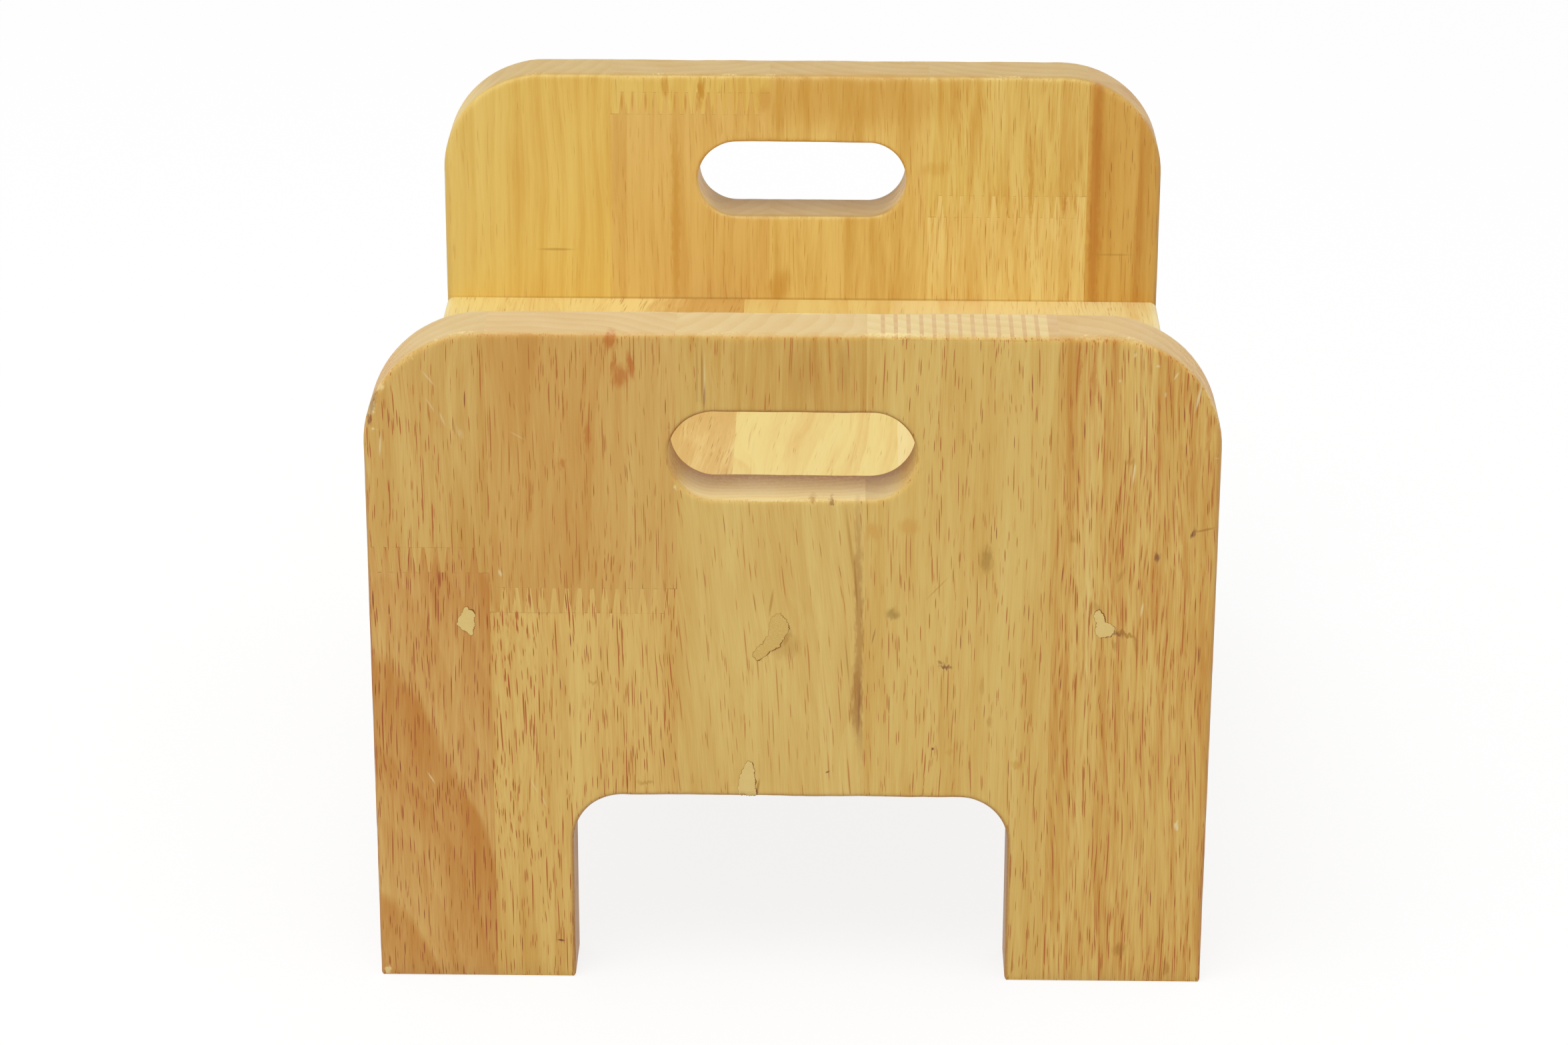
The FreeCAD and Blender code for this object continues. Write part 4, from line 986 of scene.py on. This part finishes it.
# Chips out of the front panel's arris: x, z, radius and depth
FRONT_CHIPS = [
    (7.3, 188.2, 1.5, 0.5), (14.2, 188.0, 1.6, 0.9), (-32, 224, 1.3, 0.4), (-31.5, 228, 0.8, 0.3),
    (-147.5, 3, 1.6, 0.8), (77.5, 1.5, 1.8, 0.8), (-147, 218, 1.6, 0.6), (-146.3, 224, 1.5, 0.5),
    (-43, 214, 1.2, 0.5), (45.5, 200, 1.4, 0.4), (44.5, 206, 1.0, 0.4), (-24, 188.2, 1.3, 0.4),
    (30, 188.4, 1.2, 0.4), (-40, 193, 1.2, 0.4), (-42, 198, 1.2, 0.5),
]
# Where bare wood shows: x, z and radius, and how strongly
FRONT_RUBS = [
    (-147, 222, 4.0, 0.75), (-143.5, 230, 3.2, 0.65), (-133, 240, 3.4, 0.5), (-124, 246, 2.6, 0.5),
    (-146, 214, 2.4, 0.6), (-41, 193, 1.8, 0.6), (143, 228, 3.0, 0.4), (148, 205, 2.0, 0.5),
    (-147.5, 2, 2.2, 0.8), (77.5, 1.5, 2.2, 0.9), (149, 1, 2, 0.6),
]


def middle_of(outline):
    """The mean of an outline's points, in metres."""
    return Vector((sum(x for x, _ in outline), sum(z for _, z in outline))) * (MM / len(outline))


FRONT_DISHES = [middle_of(patch) for patch in (*FRONT_PATCHES, ARCH_PATCH)]
print("filled places", [(round(p.x / MM), round(p.y / MM)) for p in FRONT_DISHES], "mm")

# %% [markdown]
# Years of use round an arris unevenly. The radius of the quarter circle therefore changes
# along the edge. The broad faces were sanded by hand and lie a few hundredths of a
# millimetre lower here and there, always inwards. On the front they lie a little deeper
# round each filled hole, so that the filler stands proud of the wood.

# %% Shape the two faces of a panel
SANDING_DEPTH = 0.05 * MM
DISH_DEPTH, DISH_FLAT, DISH_REACH = 0.13 * MM, 10 * MM, 22 * MM
WEAR_SPREAD, WEAR_REACH = 0.45, 2.2 * MM


def smooth(share):
    """0 up to 0, 1 from 1 on and an even curve between."""
    share = max(0.0, min(1.0, share))
    return share * share * (3 - 2 * share)


def quarter_drop(gap, radius):
    """How far the face has fallen at a distance from a rounded edge."""
    if gap >= radius:
        return 0.0
    return radius - math.sqrt(max(radius ** 2 - (radius - gap) ** 2, 0))


def edge_drop(x, z, seed):
    """How deep the rounded edges lie below the panel's flat face."""
    place = Vector((x, z, seed * MM)) / MM
    uneven = 1 + WEAR_SPREAD * noise.noise(place / 19) + 0.2 * noise.noise(place / 5)
    return max(quarter_drop(outer_gap(x, z), PANEL_ARRIS * uneven),
               quarter_drop(slot_gap(x, z), PANEL_ARRIS * 0.8 * uneven),
               quarter_drop(arch_gap(x, z), ARCH_ARRIS * uneven), quarter_drop(z, SOLE_ARRIS))


def face_drop(x, z, seed, chips=(), dishes=()):
    """How deep the whole surface lies below the panel's flat face."""
    place = Vector((x, z, seed * MM)) / MM
    depth = edge_drop(x, z, seed) + SANDING_DEPTH * (0.6 + 0.5 * noise.noise(place / 33))
    dished = max((smooth((DISH_REACH - (Vector((x, z)) - dish).length) / (DISH_REACH - DISH_FLAT))
                  for dish in dishes), default=0.0)
    for chip_x, chip_z, radius, deep in chips:
        share = 1 - math.hypot(x / MM - chip_x, z / MM - chip_z) / radius
        if share > 0:
            depth += deep * MM * share * (0.8 + 0.4 * noise.noise(place))
    return depth + DISH_DEPTH * dished


def wear_at(x, z, seed, rubs=()):
    """How much of the lacquer has been rubbed off, from 0 to 1."""
    gap = min(outer_gap(x, z), arch_gap(x, z) + 1.0 * MM, z + 0.8 * MM)
    near = max(0.0, 1 - max(gap, 0) / WEAR_REACH)
    place = Vector((x, z, seed * MM)) / MM
    patchy = 0.55 + 0.8 * noise.noise(place / 14)
    worn = near * patchy * (0.6 if z > 0.8 * TOP else 0.45)
    if rubs and z < SLOT_MIDDLE - 0.7 * SLOT_ROUND:
        worn = max(worn, 0.75 * patchy + 0.2 - abs(slot_gap(x, z) - 0.7 * MM) / (1.1 * MM))
    for rub_x, rub_z, radius, strength in rubs:
        share = 1 - math.hypot(x / MM - rub_x, z / MM - rub_z) / radius
        worn = max(worn, strength * smooth(share * 1.6))
    return max(0.0, min(1.0, worn))


# %% Add a piece to the stool
SMOOTH_ANGLE = math.radians(38)
SLOT_OF = {row["node"]: row["material_slot"] for row in frame["record"]["subparts"]}


def add_piece(name, points, faces, materials, slot, replaces=(), **attributes):
    """Make a mesh object of the stool and let it ride on the one body."""
    mesh = bpy.data.meshes.new(name)
    mesh.from_pydata(points, [], faces)
    for material in materials:
        mesh.materials.append(material)
    mesh.polygons.foreach_set("use_smooth", [True] * len(mesh.polygons))
    mesh.set_sharp_from_angle(angle=SMOOTH_ANGLE)
    for attribute, values in attributes.items():
        mesh.attributes.new(attribute, "FLOAT", "POINT").data.foreach_set("value", values)
    piece = bpy.data.objects.new(name, mesh)
    bpy.context.scene.collection.objects.link(piece)
    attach(piece, "root")
    if replaces:
        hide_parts(*replaces)
    return piece


# %% [markdown]
# The staves of a panel share its flat pattern, its seams and its wear, so these stay
# together in one small class. It also says where dirt and painted shade lie: painted shade,
# with some dirt and old lacquer, deepens towards the back of the hand slot, painted shade
# runs along the arch and the low side edges, and dirt sits on the slot's upper rim.

# %% Describe a panel
# How strong the dirt on the slot's upper rim is, and the painted shade along the arch and on the low side
# edges
RIM_GRIME, ARCH_PAINTED_SHADE, LOW_SIDE_PAINTED_SHADE = 0.95, 0.62, 0.25


class Panel:
    """What the staves of one panel share."""

    def __init__(self, name, outside, seam_places, joints, seeds, slotted=None, marks=(), chips=(),
                 dishes=(), rubs=(), grime=0.35):
        self.name, self.outside, self.joints, self.seeds = name, outside, joints, seeds
        self.marks, self.chips, self.dishes, self.rubs, self.grime = marks, chips, dishes, rubs, grime
        self.points, self.staves = flat_pattern(name, seam_places, joints, slotted)

    def depth(self, side, x, z):
        """The distance from the middle plane of the stool to one face of the panel."""
        if side == "outer":
            return HALF_DEPTH - face_drop(x, z, self.seeds[0], self.chips, self.dishes)
        return HALF_DEPTH - THICKNESS + face_drop(x, z, self.seeds[1])

    def grime_and_shade_at(self, x, z, y):
        """Dirt and painted shade: shade with some dirt deeper in the hand slot towards the stool's back,
        dirt on the slot's upper rim, painted shade along the arch and on low edges.
        """
        gap = slot_gap(x, z)
        inside = 1 - smooth((gap - 0.2 * MM) / (1.2 * MM))
        upper_rim = (1 - smooth(abs(gap - 0.5 * MM) / (0.6 * MM))) * smooth((z - SLOT_MIDDLE) / (8 * MM))
        # Painted shade along the arch's edge
        along_arch = 1 - smooth((arch_gap(x, z) - 0.3 * MM) / (1.5 * MM))
        # Painted shade along the outer edges, only low on the panel
        along_side = 1 - smooth((outer_gap(x, z) - 0.2 * MM) / (1.1 * MM))
        low = 1 - smooth((z / TOP - 0.72) / 0.2)
        depth = (HALF_DEPTH - y) / THICKNESS
        away = max(0.0, depth if self.outside < 0 else 1 - depth)
        # Painted shade with some dirt inside the slot, deeper away from the outer face; dirt on the slot's
        # upper rim; painted shade along the arch and the low side edges
        shade_and_dirt = max(inside * away ** 1.6, RIM_GRIME * upper_rim * (1 - away), ARCH_PAINTED_SHADE * along_arch,
                   LOW_SIDE_PAINTED_SHADE * low * along_side)
        return self.grime * shade_and_dirt


# %% [markdown]
# A stave is its part of the pattern twice, once for each face, and walls between. The
# walls get two rows of points of their own near each face, so that the wear painted on
# the arris fades out before the middle of the edge.

# %% Build a stave from its triangles
WALL_INSETS = (1.5 * MM, 6 * MM)


def border(triangles):
    """Directed edges that belong to one triangle only."""
    directed = {(t[i], t[(i + 1) % 3]) for t in triangles for i in range(3)}
    return sorted((a, b) for a, b in directed if (b, a) not in directed)


def build_stave(panel, name, triangles, material):
    """A stave from the flat pattern: two faces and the walls between them."""
    points, outside = panel.points, panel.outside
    used = sorted({i for triangle in triangles for i in triangle})
    rim = border(triangles)
    joint = panel.joints.get(int(name.split("_")[2]))
    vertices, wear, grime, glue = [], [], [], []
    number = {"outer": {}, "inner": {}}

    def add_vertex(x, y, z, worn, glued):
        vertices.append((x, outside * y, z))
        wear.append(worn)
        grime.append(panel.grime_and_shade_at(x, z, y))
        glue.append(glued)
        return len(vertices) - 1

    for side, seed in zip(("outer", "inner"), panel.seeds):
        for i in used:
            x, z = points[i]
            glued = float(bool(joint) and on_glue(joint, x, z))
            worn = wear_at(x, z, seed, panel.rubs if side == "outer" else ())
            number[side][i] = add_vertex(x, panel.depth(side, x, z), z, worn, glued)
    columns = {}
    for i in sorted({i for edge in rim for i in edge}):
        x, z = points[i]
        outer_y = panel.depth("outer", x, z)
        inner_y = panel.depth("inner", x, z)
        rows = [outer_y - step for step in WALL_INSETS]
        rows += [inner_y + step for step in reversed(WALL_INSETS)]
        worn = wear_at(x, z, panel.seeds[0], panel.rubs)
        middle = [add_vertex(x, y, z, worn * (0.6 if row == 0 else 0.0), 0.0) for row, y in enumerate(rows)]
        columns[i] = [number["outer"][i], *middle, number["inner"][i]]
    faces = []
    for a, b, c in triangles:
        faces.append([number["outer"][i] for i in (a, b, c)])
        faces.append([number["inner"][i] for i in (c, b, a)])
    for a, b in rim:
        for row in range(len(WALL_INSETS) * 2 + 1):
            faces.append([columns[b][row], columns[a][row], columns[a][row + 1], columns[b][row + 1]])
    if outside > 0:
        faces = [face[::-1] for face in faces]
    return add_piece(f"{name}_wood", vertices, faces, [material], SLOT_OF[name], [name],
                     wear=wear, grime=grime, glue=glue)


# %% Build the two panels


def build_panel(panel, seed, marked_face):
    """The staves of a panel, each with its own finish."""
    total = 0
    for order, (name, triangles) in enumerate(sorted(panel.staves.items())):
        marks = marks_near(panel.marks, *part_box(name))
        material = wood_finish(f"{name}_finish", seed + order, plank_of(name), marks, marked_face)
        total += len(build_stave(panel, name, triangles, material).data.polygons)
    print(panel.name, "panel:", len(panel.points), "points,", len(panel.staves), "staves,", total, "faces")


# The front panel takes its dirt and painted shade at full strength, the back panel the default
front_panel = Panel("front", -1, FRONT_SEAMS, FRONT_JOINTS, (11.0, 23.0), 3, FRONT_MARKS, FRONT_CHIPS,
                    FRONT_DISHES, FRONT_RUBS, grime=1.0)
build_panel(front_panel, 1, -HALF_DEPTH)
back_panel = Panel("back", 1, BACK_SEAMS, BACK_JOINTS, (37.0, 51.0), marks=BACK_MARKS)
build_panel(back_panel, 21, HALF_DEPTH - THICKNESS)

# %% [markdown]
# ## The seat
# Five staves between the panels. Each is its section, drawn out along Y: square where it
# meets its neighbour, rounded where it is the board's long edge. The top is sanded a
# little hollow here and there, as the panels are.

# %% Build the seat staves
SEAT_ROWS = 48
SECTION_STEP = 7 * MM
ROUND_STEPS = 6
# How far wear reaches in from the seat's sides, and how much darker its sides and underside get away from
# the top
SEAT_WEAR_REACH, SEAT_EDGE_DARKENING = 4 * MM, 0.28


def seat_section(left, right, round_left, round_right):
    """The points round a stave's section, anticlockwise."""
    corners = [(left, SEAT_UNDERSIDE, round_left), (right, SEAT_UNDERSIDE, round_right),
               (right, SEAT_TOP, round_right), (left, SEAT_TOP, round_left)]
    middle = Vector(((left + right) / 2, (SEAT_UNDERSIDE + SEAT_TOP) / 2))
    bends = []
    for index, (x, z, rounded) in enumerate(corners):
        corner = Vector((x, z))
        if not rounded:
            bends.append([corner])
            continue
        inwards = Vector((math.copysign(1, middle.x - x), math.copysign(1, middle.y - z)))
        centre = corner + SEAT_ARRIS * inwards
        first = math.pi + index * math.pi / 2
        angles = [first + step / ROUND_STEPS * math.pi / 2 for step in range(ROUND_STEPS + 1)]
        bends.append([centre + SEAT_ARRIS * Vector((math.cos(a), math.sin(a))) for a in angles])
    section = []
    for index, arc in enumerate(bends):
        section += arc[:-1] + straight(arc[-1], bends[(index + 1) % 4][0], SECTION_STEP)
    return section


def build_seat():
    """The five staves of the seat, their sections drawn out from front to back."""
    for order in range(1, 6):
        name = f"seat_stave_{order}"
        low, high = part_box(name)
        section = seat_section(low.x, high.x, order == 1, order == 5)
        count = len(section)
        vertices, wear, grime = [], [], []
        for row in range(SEAT_ROWS + 1):
            y = -SEAT_END + 2 * SEAT_END * row / SEAT_ROWS
            for x, z in section:
                place = Vector((x, y, z)) / MM
                sink = SANDING_DEPTH * (0.7 + 0.6 * noise.noise(place / 37))
                vertices.append((x, y, z - sink if z > (SEAT_TOP + SEAT_UNDERSIDE) / 2 else z + sink))
                from_edge = (HALF_WIDTH - abs(x)) / SEAT_WEAR_REACH
                wear.append(max(0.0, 1 - from_edge) * (0.5 + 0.6 * noise.noise(place / 17)))
                # The seat's outer sides and its underside get darker the further they lie below the top
                from_top = (SEAT_TOP - z) / SEAT_ARRIS
                side_or_underside = from_edge < 0.05 or z < SEAT_UNDERSIDE + SEAT_ARRIS
                grime.append(SEAT_EDGE_DARKENING * smooth(from_top) if side_or_underside else 0.0)
        faces = [list(range(count)), [SEAT_ROWS * count + i for i in reversed(range(count))]]
        for row in range(SEAT_ROWS):
            for i in range(count):
                a, b = row * count + i, row * count + (i + 1) % count
                faces.append([b, a, a + count, b + count])
        material = wood_finish(f"{name}_finish", order + 41, plank_of(name))
        add_piece(f"{name}_wood", vertices, faces, [material], SLOT_OF[name], [name],
                  wear=wear, grime=grime)
    print("seat: 5 staves,", count, "points round the last section")


build_seat()

# %% [markdown]
# ## Filler
# Each screw head lies deep in its hole under a filler plug. The filler was spread with a
# knife, so what shows is not the round plug but a ragged pale patch near it. A patch is
# cut from the same flat drawing as the panel: its outline is given as points, frayed by
# noise, triangulated and laid in the sanded hollow. A thin dark rim falls away round it,
# where the filler has shrunk from the wood. The back panel has no hollows, so its patches
# lie level with the wood or just under it, and hardly show. Below the patches, the round
# plugs go on to the screws.

# %% Filler finish
FILLER_TONES, RUBBED_FILLER = ((220, 195, 131), (206, 177, 109)), (199, 164, 92)


def filler_finish():
    """Pale, grainy wood filler with small pits."""
    finish = new_finish("filler_finish")
    in_stool = finish.in_millimetres()
    grains = finish.noise(in_stool, 0.45, 0.45, (3, 1, 4), 4.0, 0.7)
    clouds = finish.noise(in_stool, 3.5, 3.5, (1, 5, 9), 2.0)
    pale, deep = (surface_colour(tone) for tone in FILLER_TONES)
    colour = finish.mix(0.5 * clouds + 0.5 * grains, pale, deep)
    # The middle patch is thin, and the wood's own tone shows through
    x_place, z_place = finish.add("ShaderNodeSeparateXYZ", None, {0: in_stool}, ("X", "Z"))
    in_middle = finish.soft_step(abs(x_place + 6), 24, 6) * finish.soft_step(z_place, 90, 110)
    rubbed_in = in_middle * finish.soft_step(grains, 0.30, 0.52)
    colour = finish.mix(rubbed_in * 0.85, colour, surface_colour(RUBBED_FILLER))
    pits = finish.soft_step(grains, 0.36, 0.28)
    colour = finish.mix(pits * 0.6, colour, surface_colour(STAIN))
    bump = finish.bump(grains - pits, 0.5, 0.2)
    return finish.surface(Base_Color=colour, Roughness=0.62 + 0.2 * grains, Normal=bump)


def crack_finish():
    """The dark crack between the filler and the wood."""
    finish = new_finish("crack_finish")
    grains = finish.noise(finish.in_millimetres(), 0.9, 0.9, (2, 6, 5), 3.0)
    colour = finish.mix(grains * 0.7, surface_colour(DARK), surface_colour(STAIN))
    bump = finish.bump(grains, 0.4, 0.2)
    return finish.surface(Base_Color=colour, Roughness=0.8 + 0.1 * grains, Normal=bump)


FILLER, CRACK = filler_finish(), crack_finish()
print("finishes", FILLER.name, "and", CRACK.name)

# %% Draw a frayed outline
RIM_STEP = 0.2 * MM


def rim_normal(loop, i):
    """The outward direction at a point of a clockwise loop."""
    along = (loop[(i + 1) % len(loop)] - loop[i - 1]).normalized()
    return Vector((-along.y, along.x))


def curve_point(before, start, end, after, t):
    """A point of the smooth curve from start to end that heeds the points beyond them."""
    square = 2 * before - 5 * start + 4 * end - after
    cube = 3 * start - before - 3 * end + after
    return 0.5 * (2 * start + (end - before) * t + square * t ** 2 + cube * t ** 3)


def frayed_outline(outline, seed):
    """A closed outline of given points as a dense, softly rounded and frayed loop."""
    knots = [Vector(point) * MM for point in outline]
    count = len(knots)
    loop = []
    for i in range(count):
        before, start, end, after = (knots[(i + step) % count] for step in (-1, 0, 1, 2))
        steps = max(2, math.ceil((end - start).length / RIM_STEP))
        loop += [curve_point(before, start, end, after, step / steps) for step in range(steps)]
    frayed = []
    for i, point in enumerate(loop):
        place = Vector((point.x, point.y, seed * MM)) / MM
        fray = 0.5 * noise.noise(place * 0.9) + 0.36 * noise.noise(place * 2.7)
        frayed.append(point + rim_normal(loop, i) * fray * MM)
    return frayed


# %% [markdown]
# A patch is a thin skin. A grid of points inside its loop lets it follow the rounded edge
# of the arch. Two more rows round the rim form the crack and a skirt that goes down
# into the wood, so that the skin is closed.

# %% Build a patch and the crack round it
PATCH_GRID = 1.1 * MM
PATCH_PROUD, PATCH_ROUND, PATCH_LUMPS = 0.01 * MM, 0.04 * MM, 0.02 * MM
CRACK_FALL, PATCH_SKIRT = 0.02 * MM, 0.6 * MM
CRACK_WIDTH, CRACK_LEAST = 0.42 * MM, 0.3


def outline_distance(loop, point):
    """How far a point lies from the nearest point of a loop."""
    return min((point - each).length for each in loop)


def inside_loop(loop, point):
    """Whether a point lies in a loop, by counting the edges to its right."""
    inside = False
    for a, b in zip(loop, loop[1:] + loop[:1]):
        if (a.y > point.y) != (b.y > point.y):
            crossing = a.x + (b.x - a.x) * (point.y - a.y) / (b.y - a.y)
            if crossing > point.x:
                inside = not inside
    return inside


def points_inside(loop):
    """A grid of points inside a loop, clear of its rim."""
    low = Vector((min(p.x for p in loop), min(p.y for p in loop)))
    high = Vector((max(p.x for p in loop), max(p.y for p in loop)))
    inner = []
    for column in range(1, int((high.x - low.x) / PATCH_GRID) + 1):
        for row in range(1, int((high.y - low.y) / PATCH_GRID) + 1):
            point = low + Vector((column, row)) * PATCH_GRID
            if inside_loop(loop, point) and outline_distance(loop, point) > PATCH_GRID * 0.5:
                inner.append(point)
    return inner


def crack_line(loop, seed, share):
    """The far side of the crack round a patch, which opens most to the right."""
    line = []
    for i, point in enumerate(loop):
        place = Vector((point.x, point.y, (seed + 9) * MM)) / MM
        outward = rim_normal(loop, i)
        opened = CRACK_LEAST + (1 - CRACK_LEAST) * smooth(0.4 + outward.x)
        width = CRACK_WIDTH * opened * share * max(0.25, 0.5 + 1.3 * noise.noise(place / 2.6))
        line.append(point + outward * width)
    return line


def patch_parts(outline, outside, seed, face_seed):
    """One patch: its points, faces and each face's material number."""
    loop = frayed_outline(outline, seed)
    count = len(loop)
    drawn = loop + points_inside(loop)
    ring_edges = [(i, (i + 1) % count) for i in range(count)]
    flat, _, triangles, *_ = delaunay_2d_cdt(drawn, ring_edges, [], 1, CDT_GRAIN, False)
    faces = [[a, b, c] for a, b, c in triangles
             if inside_loop(loop, (flat[a] + flat[b] + flat[c]) / 3)]
    numbers = [0] * len(faces)
    vertices = []

    def add_vertex(point, sunk):
        depth = edge_drop(point.x, point.y, face_seed) + PATCH_PROUD + sunk
        vertices.append((point.x, outside * (HALF_DEPTH - depth), point.y))
        return len(vertices) - 1

    for point in flat:
        near_rim = 1 - min(1.0, outline_distance(loop, point) / PATCH_GRID)
        lumpy = 1 + noise.noise(Vector((point.x, point.y, seed * MM)) / (1.5 * MM))
        add_vertex(point, PATCH_ROUND * near_rim ** 2 + PATCH_LUMPS * lumpy)
    rows = [[min(range(len(flat)), key=lambda j, p=p: (flat[j] - p).length_squared) for p in loop]]
    for share, fall in ((1.0, CRACK_FALL), (1.15, PATCH_SKIRT)):
        rows.append([add_vertex(point, PATCH_ROUND + fall) for point in crack_line(loop, seed, share)])
    for upper, lower in zip(rows, rows[1:]):
        for i in range(count):
            j = (i + 1) % count
            faces.append([upper[i], upper[j], lower[j], lower[i]])
            numbers.append(1)
    faces.append(rows[-1])
    numbers.append(1)
    if outside > 0:
        faces = [face[::-1] for face in faces]
    return vertices, faces, numbers


# %% Build a plug
PLUG_SIDES = 36
plug_low, plug_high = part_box("front_screw_plugs")
PLUG_RADIUS, PLUG_DEPTH = (plug_high.z - plug_low.z) / 2, plug_high.y - plug_low.y
# Rings of a plug: how deep each lies and its share of the radius
PLUG_RINGS = [(0.4 * MM, 0.97), (0.6 * MM, 1.0), (PLUG_DEPTH, 1.0)]
SCREW_HEIGHT = (plug_low.z + plug_high.z) / 2
SCREW_PLACES = [plug_low.x + PLUG_RADIUS, (plug_low.x + plug_high.x) / 2, plug_high.x - PLUG_RADIUS]


def plug_parts(x0, outside):
    """The round plug under a patch, a closed cylinder of filler."""
    turns = [2 * math.pi * side / PLUG_SIDES for side in range(PLUG_SIDES)]
    vertices = [(x0 + share * PLUG_RADIUS * math.cos(turn), outside * (HALF_DEPTH - depth),
                 SCREW_HEIGHT + share * PLUG_RADIUS * math.sin(turn))
                for depth, share in PLUG_RINGS for turn in turns]
    faces = [list(range(PLUG_SIDES)), [2 * PLUG_SIDES + side for side in reversed(range(PLUG_SIDES))]]
    for ring in range(len(PLUG_RINGS) - 1):
        for side in range(PLUG_SIDES):
            a, b = ring * PLUG_SIDES + side, ring * PLUG_SIDES + (side + 1) % PLUG_SIDES
            faces.append([b, a, a + PLUG_SIDES, b + PLUG_SIDES])
    if outside > 0:
        faces = [face[::-1] for face in faces]
    return vertices, faces, [0] * len(faces)


print("plugs at", [round(x / MM, 1) for x in SCREW_PLACES], "mm")

# %% Build the filler


def build_filler(name, node, outside, outlines, plugs, face_seed):
    """One piece of filler: its patches and the round plugs under them."""
    vertices, faces, numbers = [], [], []
    parts = [patch_parts(outline, outside, seed + 1.5, face_seed) for seed, outline in enumerate(outlines)]
    parts += [plug_parts(place, outside) for place in plugs]
    for part_vertices, part_faces, part_numbers in parts:
        first = len(vertices)
        vertices += part_vertices
        faces += [[first + i for i in face] for face in part_faces]
        numbers += part_numbers
    piece = add_piece(name, vertices, faces, [FILLER, CRACK], SLOT_OF[node], [node])
    piece.data.polygons.foreach_set("material_index", numbers)
    print(name, len(faces), "faces")


def shifted(outline, start, end):
    """An outline turned half round, the x at start coming to lie at end."""
    return [(end - (x - start), 2 * SCREW_HEIGHT / MM - z + 1.5) for x, z in outline]


left_x, middle_x, right_x = (place / MM for place in SCREW_PLACES)
BACK_PATCHES = [shifted(RIGHT_PATCH, 110, left_x), shifted(LEFT_PATCH, -115.5, middle_x),
                shifted(MIDDLE_PATCH, -6, right_x)]
build_filler("front_filler_patches", "front_screw_plugs", -1, FRONT_PATCHES, SCREW_PLACES,
             front_panel.seeds[0])
build_filler("back_filler_patches", "back_screw_plugs", 1, BACK_PATCHES, SCREW_PLACES, back_panel.seeds[0])
build_filler("arch_filler_patch", "arch_filler", -1, [ARCH_PATCH], [], front_panel.seeds[0])

# %% [markdown]
# ## Screws
# The screws lie out of sight inside the boards. Their solids are right as they are, so the
# CAD nodes stay and only get a zinc finish, brushed round the shank by the lathe.

# %% Finish the screws
BRIGHT_ZINC, DULL_ZINC = (0.60, 0.61, 0.63, 1), (0.48, 0.49, 0.50, 1)


def zinc_finish():
    """Zinc on turned steel."""
    finish = new_finish("zinc_finish")
    in_stool = finish.in_millimetres()
    turning = finish.noise(finish.moved(in_stool, turn=(math.pi / 2, 0, 0)), 2.0, 0.11, (0, 0, 0), 2.0)
    bloom = finish.noise(in_stool, 1.4, 1.4, (0, 0, 0), 3.0)
    colour = finish.mix(bloom, BRIGHT_ZINC, DULL_ZINC)
    bump = finish.bump(turning, 0.3, 0.05)
    return finish.surface(Base_Color=colour, Metallic=1.0, Roughness=0.3 + 0.2 * bloom, Normal=bump)


ZINC = zinc_finish()
for node in ("front_screws", "back_screws"):
    screws = frame["nodes"][node]
    screws.data.materials.clear()
    screws.data.materials.append(ZINC)

# %% Print the CAD box
print("CAD box", [[round(x / MM, 2) for x in corner] for corner in cad_box])
